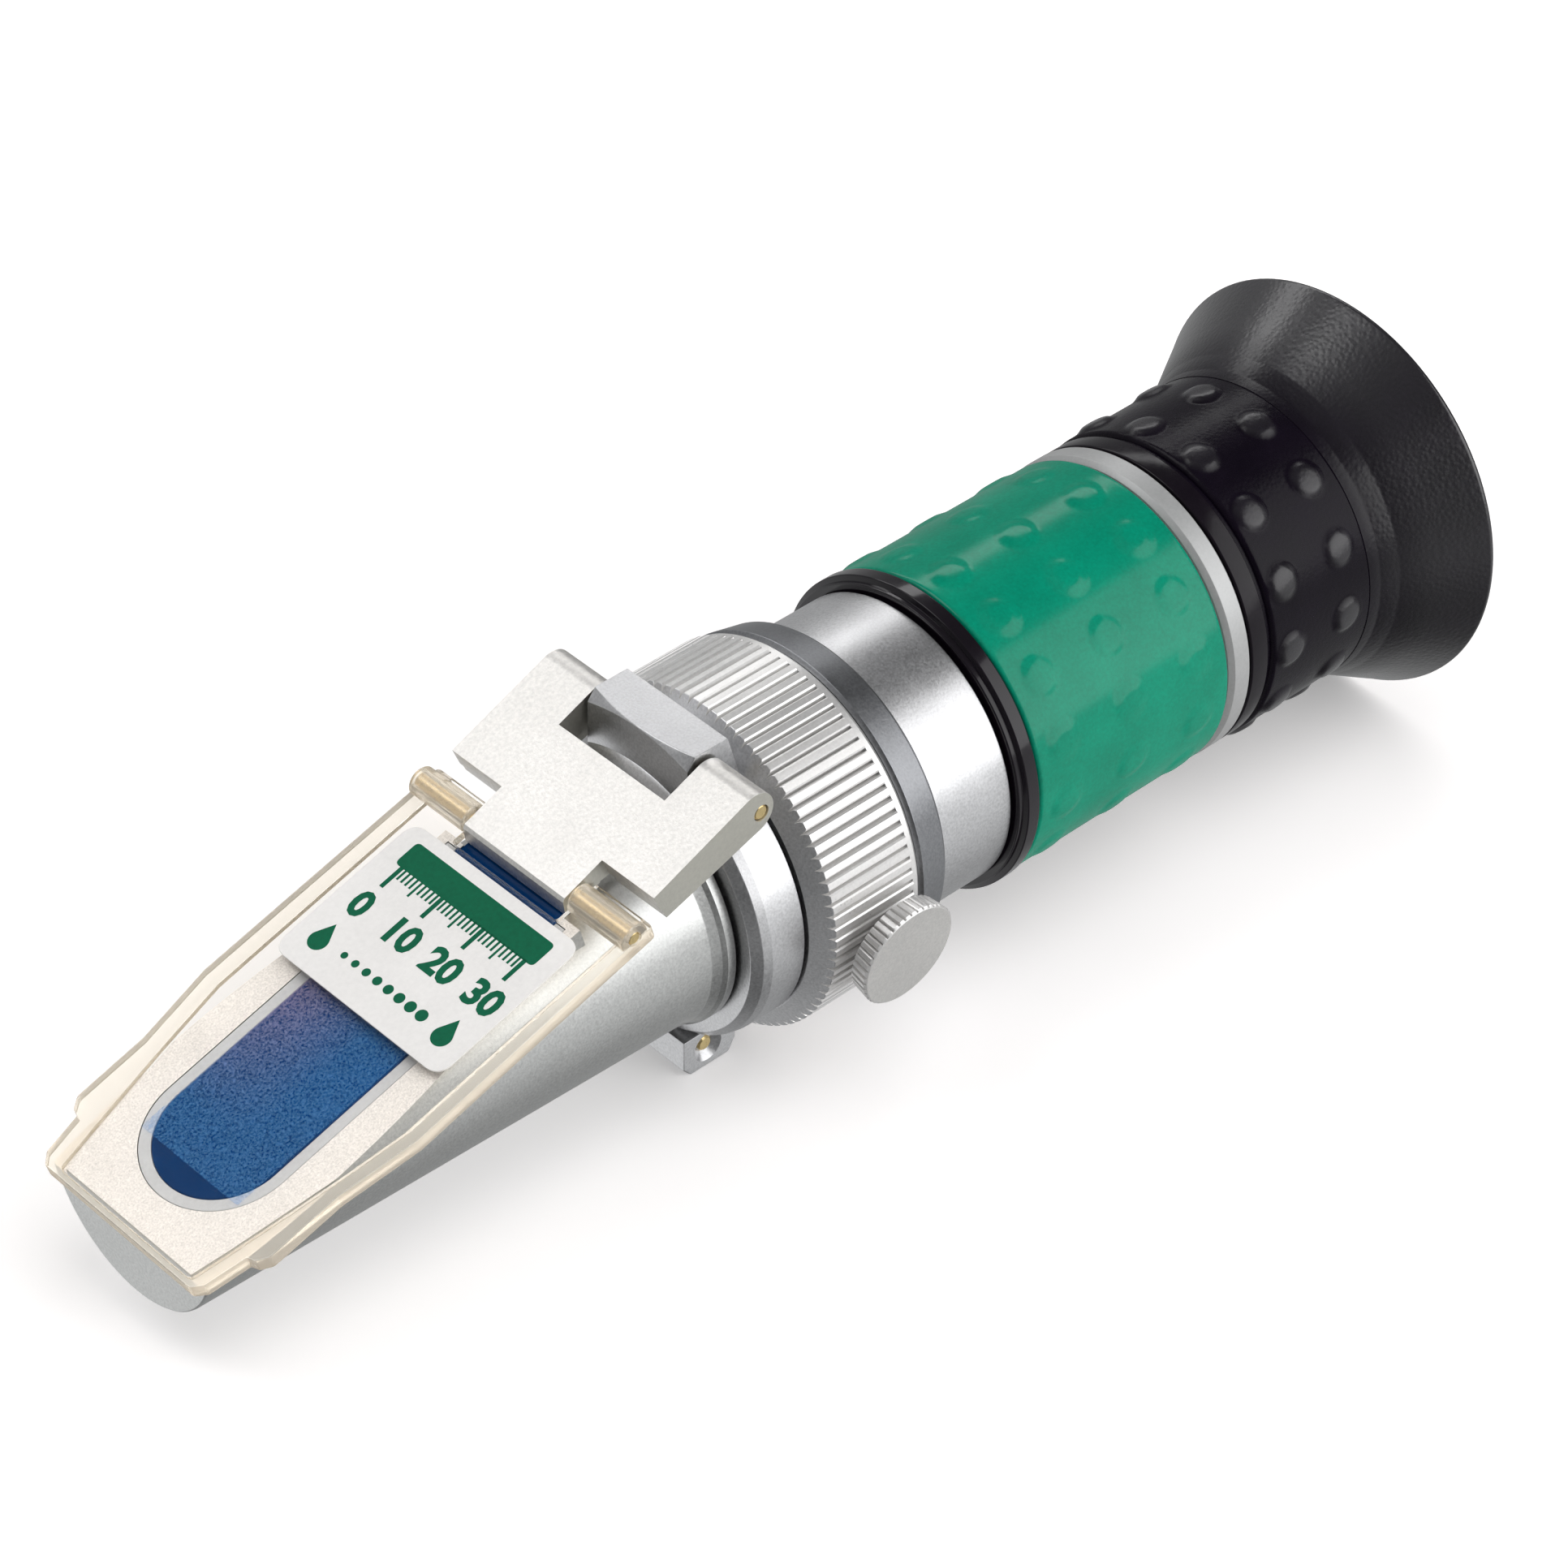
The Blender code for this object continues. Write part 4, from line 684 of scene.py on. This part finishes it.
def bumpy_mesh(name, low, high, domes, height, flat, crown, front=()):
    """A sleeve with a regular field of domes. domes gives the number round the sleeve, their
    stations, the sleeve's radius, their size and the first one's angle. Each has a flat top of
    that share of its size, plus a slight crown. front is a profile that comes before it."""
    rows, columns, radius, size, start = domes
    pitch, bore = 0.2, 12.9
    stations = list(np.arange(low, high, pitch)) + [high]
    first = len(front)
    outer = list(front) + [(s, radius) for s in stations]
    profile = outer + [(high, bore), (outer[0][0], bore)]
    turn = math.radians(360.0 / rows)
    phase = math.radians(start)

    def dome_reach(station, around):
        """Distance from the nearest dome's centre, as a share of its size."""
        offset = (around + turn / 2.0) % turn - turn / 2.0
        return min(math.hypot(station - centre, offset * radius) for centre in columns) / size

    def shape(i, angle, point):
        station, level = point
        if i < first or i >= len(outer):
            return point
        # Both ends are rounded off.
        edge = min(station - low, high - station)
        level -= 0.25 * max(0.0, 1.0 - edge / 0.3) ** 2
        # Local X of the axis frame points down, so the part's angle is turned round here.
        reach = dome_reach(station, math.pi / 2.0 + angle + math.pi - phase)
        slope = min(max((1.0 - reach) / (1.0 - flat), 0.0), 1.0)
        dome = slope * slope * (3.0 - 2.0 * slope)
        return station, level + height * (dome + crown * max(0.0, 1.0 - reach * reach))

    return turned_mesh(name, profile, AXIS, 3 * LATHE_STEPS, shape)


def build_grips(looks):
    domes = (15, (33.3, 41.4, 49.5), 14.76, 2.15, 136.5)
    grip = as_object("green_grip", bumpy_mesh("green_grip", 30.0, 53.2, domes, 0.16, 0.42, 0.4))
    finished(grip, looks["green"], "barrel", ["grip_sleeve"], 50.0)
    # Its bounced light would tint the white floor green.
    grip.visible_diffuse = False
    front = rounded([(56.1, 14.3), (56.1, 14.8, 0.2), (58.1, 14.8, 0.12), (58.3, 14.45, 0.05),
                     (58.7, 14.45)], 0.1, closed=False)
    item = as_object("focus_sleeve", bumpy_mesh("focus_sleeve", 58.8, 71.45, FOCUS_DOMES, 0.24,
                                                0.55, 0.9, front))
    finished(item, looks["black"], "focus", ["focus_ring"], 50.0)
    # The band in front of the domes is smooth.
    faced(item, looks["smooth_black"], lambda face: face.center.x < 58.5 * MM)


def build_eyecup(looks):
    outside = [(71.2, 14.96, 0.04), (72.4, 15.1, 1.0), (74.2, 15.8, 2.0), (78.0, 17.9, 3.0),
               (81.2, 19.65, 1.0), (CUP_RIM, CUP_RADIUS, 0.35), (82.2, 19.75, 0.3)]
    inside = [(71.2, 13.3), (74.3, 13.3), (74.3, 11.6, 0.15), (75.3, 11.6, 0.5),
              (78.5, 15.2, 2.0), (82.2, 18.7, 0.25)]
    ring("eyecup_flare", outside, inside, looks["cup"], "focus", ["eyecup"], 0.2)
    ring("sleeve_end", [(46.0, 10.5), (70.6, 10.5)], [(46.0, 9.4), (70.6, 9.4)], looks["matt"],
         "barrel", ["eyepiece_sleeve"])
    ring("ocular_barrel", [(59.5, 9.1), (73.6, 9.1, 0.25)], [(59.5, 6.9), (61.0, 6.9), (61.0, 7.9),
                                                           (73.6, 7.9, 0.2)],
         looks["matt"], "ocular", ["ocular_cell"])
    ring("ocular_lock_ring", [(72.0, 7.6), (73.3, 7.6, 0.12)], [(72.0, 6.4), (72.7, 6.4, 0.1),
                                                              (73.3, 6.9, 0.1)],
         looks["matt"], "ocular", ["ocular_retainer"])
    # The eye lens bulges at both faces.
    bulge, radius, cuts = 0.7, 7.6, 10
    shares = [k / cuts for k in range(cuts + 1)]
    dome = [(70.0 - bulge * (1.0 - t ** 2), radius * t) for t in shares]
    back = [(71.4 + bulge * (1.0 - t ** 2), radius * t) for t in reversed(shares)]
    item = as_object("eye_lens_dome", turned_mesh("eye_lens_dome", dome + back, AXIS, 96))
    finished(item, looks["lens"], "ocular", ["eye_lens"])


# ---------------------------------------------------------------- knurled pieces

def tooth(angle, count, root, tip, crest=0.70, valley=0.05):
    """Radius of a straight V knurl with a narrow flat on its crest and in its valley."""
    share = (angle * count / (2.0 * math.pi)) % 1.0
    rise = abs(share - 0.5) * 2.0
    rise = min(max((rise - valley) / (1.0 - crest - valley), 0.0), 1.0)
    return root + (tip - root) * rise


def build_knurled_ring(looks):
    root, tip, teeth = 15.56, 16.14, 90
    front_x, front_r, slope = 3.5, 14.3, 1.52
    cone = front_x + 0.06
    # Points 3 to 5 carry the teeth, and shape moves them.
    profile = [(front_x, 13.0), (front_x, front_r - 0.08), (cone, front_r), (4.2, root),
               (4.3, root), (13.7, root), (13.75, 15.95), (14.25, 15.95), (14.6, 15.65),
               (14.7, 15.5), (14.7, 13.0)]

    def shape(i, angle, point):
        """The teeth start where the cone in front of them reaches their level."""
        if i not in (3, 4, 5):
            return point
        level = tooth(angle, teeth, root, tip)
        meet = cone + (level - front_r) / slope
        if i == 3:
            return meet - 0.02, level - 0.03
        return (meet + 0.04 if i == 4 else point[0]), level

    band = turned_mesh("knurl_band", profile, AXIS, teeth * TOOTH_STEPS, shape)
    item = as_object("knurl_band", band)
    finished(item, looks["knurl"], "compensator", ["knurled_ring"], 24.0)
    # The cone in front of the teeth is turned smooth, and mirrors more.
    faced(item, looks["satin"], lambda face: face.normal.x < -0.3)


def build_knob(looks):
    teeth = 44
    # Root and tip of the knurl at the points of the profile where it starts and ends.
    knurl = {5: (4.45, 4.78), 6: (4.66, 5.0)}
    profile = [(16.5, 1.3), (16.5, 2.3), (17.15, 2.3), (17.2, 2.5), (17.2, 4.45), (17.3, 4.45),
               (18.95, 4.66), (19.1, 4.86), (19.16, 4.76), (19.16, 0.0), (17.9, 0.0), (17.9, 1.3)]

    def shape(i, angle, point):
        return (point[0], tooth(angle, teeth, *knurl[i])) if i in knurl else point

    head = turned_mesh("thumb_knob_head", profile, KNOB, teeth * TOOTH_STEPS, shape)
    item = as_object("thumb_knob_head", head)
    finished(item, looks["knurl"], "lock_knob", ["thumb_knob"], 24.0)
    out = KNOB.to_3x3() @ Vector((0.0, 0.0, 1.0))
    faced(item, looks["knob_face"], lambda face: face.normal.dot(out) > 0.98)


# ---------------------------------------------------------------- hinged cover

def build_bracket(looks):
    plan = mirrored([(-4.53, 6.4), (4.0, 6.4), (4.0, 12.27), (-11.55, 12.27), (-11.55, 6.1),
                     (-17.2, 6.1)])
    item = as_object("bracket_casting", prism_mesh("bracket", plan, -4.0, 4.0, COVER))
    profile = arc((-0.58, 0.47), 2.02, -92.0, 90.0, 24) + [
        (-15.9, 2.49), (-16.2, 2.2), (-16.55, 0.75), (-11.4, 0.4), (-11.4, -0.7)]
    combined(item, side_mesh("profile", profile, -13.5, 13.5, COVER), "INTERSECT")
    combined(item, side_mesh("relief", [(-3.0, -1.2), (-12.6, 0.62), (-12.6, -4.0), (-3.0, -4.0)],
                             -6.4, 6.4, COVER))
    bevelled(item, 0.16, 3, 35.0)
    combined(item, rod_mesh("hole", 0.78, -15.0, 15.0, COVER_PIN))
    combined(item, rod_mesh("hole", 0.68, -15.0, 15.0, PLATE_PIN))
    finished(item, looks["bracket"], "cover", ["hinge_bracket"], 30.0)
    # Its flanks get a darker copy of the cast look than the blasted top: painted shade on the sides
    # that face away from the lamps.
    faced(item, looks["painted_shade_flank"], lambda face: abs(face.normal.y) > 0.98)
    pin = as_object("plate_pin_brass", rod_mesh("pin", 0.6, -13.0, 13.0, PLATE_PIN, 0.12))
    finished(pin, looks["brass"], "cover", ["plate_pin"])


def build_plate(looks):
    knuckle, inner_end, outer_end = 1.36, 6.4, 13.06
    half = [(1.9, 13.1), (-24.0, 13.25), (-31.5, 12.15), (-31.9, 12.15, 0.2), (-38.6, 12.1, 0.8),
            (-39.6, 11.4, 0.5), (-39.8, 10.65, 0.2), (-43.6, 9.95), (-44.5, 9.1)]
    outline = rounded([p if len(p) > 2 else (p[0], p[1], 0.5) for p in half]
                      + [(p[0], -p[1]) + tuple(p[2:]) for p in reversed(half)], 0.5)
    item = as_object("daylight_cover", prism_mesh("plate", outline, PLATE_LOW, PLATE_TOP, PLATE))
    pocket = rounded(mirrored([(2.9, 11.65), (-24.0, 11.6), (-31.0, 10.55), (-40.0, 8.95),
                               (-43.85, 8.2)]), 0.6)
    combined(item, prism_mesh("pocket", pocket, PLATE_LOW - 1.0, PLATE_TOP - SHEET, PLATE))
    bevelled(item, 0.1, 2, 35.0)
    for side in (-1.0, 1.0):
        low, high = sorted((side * inner_end, side * outer_end))
        combined(item, rod_mesh("knuckle", knuckle, low, high, PLATE_PIN, 0.1), "UNION")
    notch = rounded(mirrored([(3.9, inner_end), (-2.6, inner_end)]), 0.3)
    combined(item, prism_mesh("notch", notch, PLATE_LOW - 2.0, PLATE_TOP + 3.0, PLATE))
    combined(item, rod_mesh("hole", 0.66, -20.0, 20.0, PLATE_PIN))
    finished(item, looks["clear"], "plate", ["daylight_plate"], 30.0)
    # The moulded rims and knuckles are thicker, so they look creamier than the sheet.
    inward = PLATE.inverted()

    def on_rim(face):
        level = (inward @ (face.center / MM)).z
        return abs((inward.to_3x3() @ face.normal).z) < 0.9 or level < PLATE_LOW + 0.3

    def on_knuckle(face):
        place = inward @ (face.center / MM)
        return math.hypot(place.x, place.z) < knuckle + 0.09 and abs(place.y) > inner_end - 0.1

    faced(item, looks["rim"], on_rim)
    faced(item, looks["knuckle"], on_knuckle)
    # The frosted patch lies just under the sheet.
    area = mirrored([(-17.5, 6.0), (-37.0, 6.0)])
    under = PLATE_TOP - SHEET
    patch = prism_mesh("patch", area, under - 0.06, under - 0.03, PLATE)
    item = as_object("diffusing_patch", patch)
    finished(item, looks["frost"], "plate")


# ---------------------------------------------------------------- label

def text_outline(body, size, weight):
    """A number's flat mesh, centred on its own origin."""
    curve = bpy.data.curves.new("number", "FONT")
    curve.body = body
    curve.size = size
    curve.offset = weight
    curve.align_x = "CENTER"
    curve.align_y = "CENTER"
    curve.resolution_u = 3
    carrier = as_object("number", curve)
    graph = bpy.context.evaluated_depsgraph_get()
    mesh = bpy.data.meshes.new_from_object(carrier.evaluated_get(graph))
    bpy.data.objects.remove(carrier, do_unlink=True)
    return mesh


def build_label(looks):
    front, rear, half_width, corner = -19.0, -3.2, 10.25, 1.6
    outline = rounded(mirrored([(rear, half_width), (front, half_width)]), corner, cuts=10)
    film = prism_mesh("label", outline, LABEL_TOP - 0.2, LABEL_TOP, PLATE)
    item = as_object("plate_sticker", film)
    bevelled(item, 0.05, 2, 60.0)
    finished(item, looks["label"], "plate", ["plate_label"])

    # Print: drawn with its own x to the reader's right and y up the label.
    middle = Matrix.Translation((-11.1, 0.0, LABEL_TOP))
    page = PLATE @ middle @ Matrix.Rotation(math.radians(-90.0), 4, "Z")
    marks = []

    def mark(outline):
        marks.append(prism_mesh("mark", outline, -0.01, INK, page))

    def bar(x, y, width, height):
        return [(x - width / 2, y - height / 2), (x + width / 2, y - height / 2),
                (x + width / 2, y + height / 2), (x - width / 2, y + height / 2)]

    # A graduated scale: a long bar, ticks hanging from it, and numbers under them.
    scale_start, tick_pitch, tick_top = -7.5, 0.5, 4.2
    mark(rounded(bar(0.0, 5.35, 16.8, 2.6), 0.5, cuts=6))
    for i in range(31):
        height = 2.5 if i % 10 == 0 else 1.8 if i % 5 == 0 else 1.2
        width = 0.22 if i % 10 else 0.42
        mark(bar(scale_start + tick_pitch * i, tick_top - height / 2, width, height))
    for i, number in enumerate(("0", "10", "20", "30")):
        mesh = text_outline(number, 3.5, 0.14)
        flat = page @ Matrix.Translation((scale_start + 10 * tick_pitch * i, -0.6, INK))
        mesh.transform(Matrix.Scale(MM, 4) @ flat)
        marks.append(mesh)
    # A row of graded dots, and a drop at each end of it.
    for i in range(8):
        size = 0.65 + 0.07 * i
        mark(arc((-4.75 + 1.36 * i, -4.75), size / 2, 0.0, 345.0, 23))
    for x in (-7.6, 7.6):
        mark(arc((x, -5.1), 0.95, 150.0, 390.0, 24) + [(x, -3.1)])
    work = bmesh.new()
    for mesh in marks:
        work.from_mesh(mesh)
        bpy.data.meshes.remove(mesh)
    mesh = bpy.data.meshes.new("label_print")
    work.to_mesh(mesh)
    work.free()
    item = as_object("label_print", mesh)
    finished(item, looks["ink"], "plate")


# ---------------------------------------------------------------- what stays CAD

def colour_hidden(looks):
    """Looks for the CAD nodes inside the tube, which stay as they are."""
    black = ("objective_cell", "objective_retainer", "reticle_cell", "reticle_retainer",
             "compensator_cell", "compensator_retainer", "ocular_spacer", "nose_o_ring")
    glass = ("objective_lens", "reticle_disc", "compensator_prism", "field_lens")
    metal = ("drive_pin", "guide_pin")
    for names, look in ((black, "matt"), (glass, "lens"), (metal, "brass"),
                        (("knob_screw",), "knurl")):
        for name in names:
            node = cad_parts[name]
            for place in node.material_slots:
                place.material = looks[look]


# ---------------------------------------------------------------- studio

def build_floor():
    look = Look("pale_floor", (0.96, 0.94, 0.935), 0.9, Specular_IOR_Level=0.0)
    look.set("Emission Color", (1.0, 1.0, 1.0, 1.0))
    look.set("Emission Strength", FLOOR_GLOW)
    mottle = look.noise(6.0, 3.0, 0.5)
    look.link(look.blended(mottle, (0.96, 0.935, 0.93, 1.0), (0.975, 0.95, 0.945, 1.0)),
              "Base Color")
    # The part rests on its lug's front edge and on the eyecup's rim, so the floor joins them.
    slope = math.atan2(CUP_RADIUS - AXIS_Z, CUP_RIM - LUG_FRONT)
    tilt = Matrix.Translation((LUG_FRONT, 0.0, -0.02)) @ Matrix.Rotation(slope, 4, "Y")
    mesh = bpy.data.meshes.new("floor")
    corners = [Vector((x, y, 0.0)) * FLOOR_SIZE for x, y in ((-1, -1), (1, -1), (1, 1), (-1, 1))]
    mesh.from_pydata([tuple((tilt @ c) * MM) for c in corners], [], [(0, 1, 2, 3)])
    mesh.materials.append(look.material)
    floor = as_object("floor", mesh)
    # The metal's undersides mirror the room's lower walls rather than the lit floor.
    floor.visible_glossy = False


def lamp(name, direction, distance, width, height, radiance, glossy=True):
    """A softbox in a direction from the part, facing it, with the brightness it is seen at.
    Its distance and size are in metres."""
    data = bpy.data.lights.new(name, "AREA")
    data.shape = "RECTANGLE"
    data.size = width
    data.size_y = height
    data.energy = radiance * math.pi * width * height
    item = bpy.data.objects.new(name, data)
    away = Vector(direction).normalized()
    item.location = Vector(LAMP_AIM) * MM + away * distance
    item.rotation_euler = away.to_track_quat("Z", "Y").to_euler()
    item.visible_glossy = glossy
    bpy.context.scene.collection.objects.link(item)


def build_world():
    """Grey studio walls, with darker and lighter zones for the metal to mirror."""
    world = bpy.data.worlds.new("studio")
    bpy.context.scene.world = world
    world.use_nodes = True
    tree = world.node_tree
    background = tree.nodes["Background"]
    toward = tree.nodes.new("ShaderNodeTexCoord").outputs["Generated"]
    level = None
    for direction, start, end, factor in WALL_ZONES:
        dot = tree.nodes.new("ShaderNodeVectorMath")
        dot.operation = "DOT_PRODUCT"
        tree.links.new(toward, dot.inputs[0])
        dot.inputs[1].default_value = Vector(direction).normalized()
        ramp = tree.nodes.new("ShaderNodeMapRange")
        tree.links.new(dot.outputs["Value"], ramp.inputs["Value"])
        for label, value in (("From Min", start), ("From Max", end), ("To Min", 1.0),
                             ("To Max", factor)):
            ramp.inputs[label].default_value = value
        product = tree.nodes.new("ShaderNodeMath")
        product.operation = "MULTIPLY"
        tree.links.new(ramp.outputs[0], product.inputs[0])
        if level is None:
            product.inputs[1].default_value = WALL_LEVEL
        else:
            tree.links.new(level, product.inputs[1])
        level = product.outputs[0]
    # What the camera sees past the floor is a plain pale wall.
    path = tree.nodes.new("ShaderNodeLightPath")
    seen = tree.nodes.new("ShaderNodeMix")
    tree.links.new(path.outputs["Is Camera Ray"], seen.inputs[0])
    tree.links.new(level, seen.inputs[2])
    seen.inputs[3].default_value = WALL_SEEN
    tree.links.new(seen.outputs[0], background.inputs["Strength"])
    background.inputs["Color"].default_value = (0.97, 0.98, 0.985, 1.0)


def build_lamps():
    lamp("right_softbox", (0.50, -0.745, 0.44), 0.6, 0.72, 0.54, 1.7)
    lamp("back_softbox", (0.36, 0.72, 0.60), 0.8, 0.9, 0.15, 2.7)
    lamp("top_softbox", (-0.38, 0.42, 0.82), 0.9, 0.5, 0.45, 2.3)
    lamp("floor_wash", (0.15, -0.30, 1.0), 1.5, 1.2, 1.2, 1.85, glossy=False)


def build_camera():
    camera = bpy.data.cameras.new("camera")
    camera.sensor_width = 36.0
    camera.lens = CAMERA_LENS
    camera.clip_start = 0.01
    camera.clip_end = 50.0
    item = bpy.data.objects.new("camera", camera)
    axes = Matrix((CAMERA_RIGHT, CAMERA_UP, -Vector(CAMERA_AHEAD)))
    item.matrix_world = Matrix.Translation(CAMERA_PLACE) @ axes.transposed().to_4x4()
    bpy.context.scene.collection.objects.link(item)
    bpy.context.scene.camera = item


def build_studio():
    build_world()
    build_lamps()
    build_floor()
    build_camera()
    bpy.context.scene.view_settings.view_transform = "Standard"


def main():
    looks = make_looks()
    build_housing(looks)
    build_window(looks)
    build_collar(looks)
    build_barrel(looks)
    build_grips(looks)
    build_eyecup(looks)
    build_knurled_ring(looks)
    build_knob(looks)
    build_bracket(looks)
    build_plate(looks)
    build_label(looks)
    colour_hidden(looks)
    build_studio()


main()
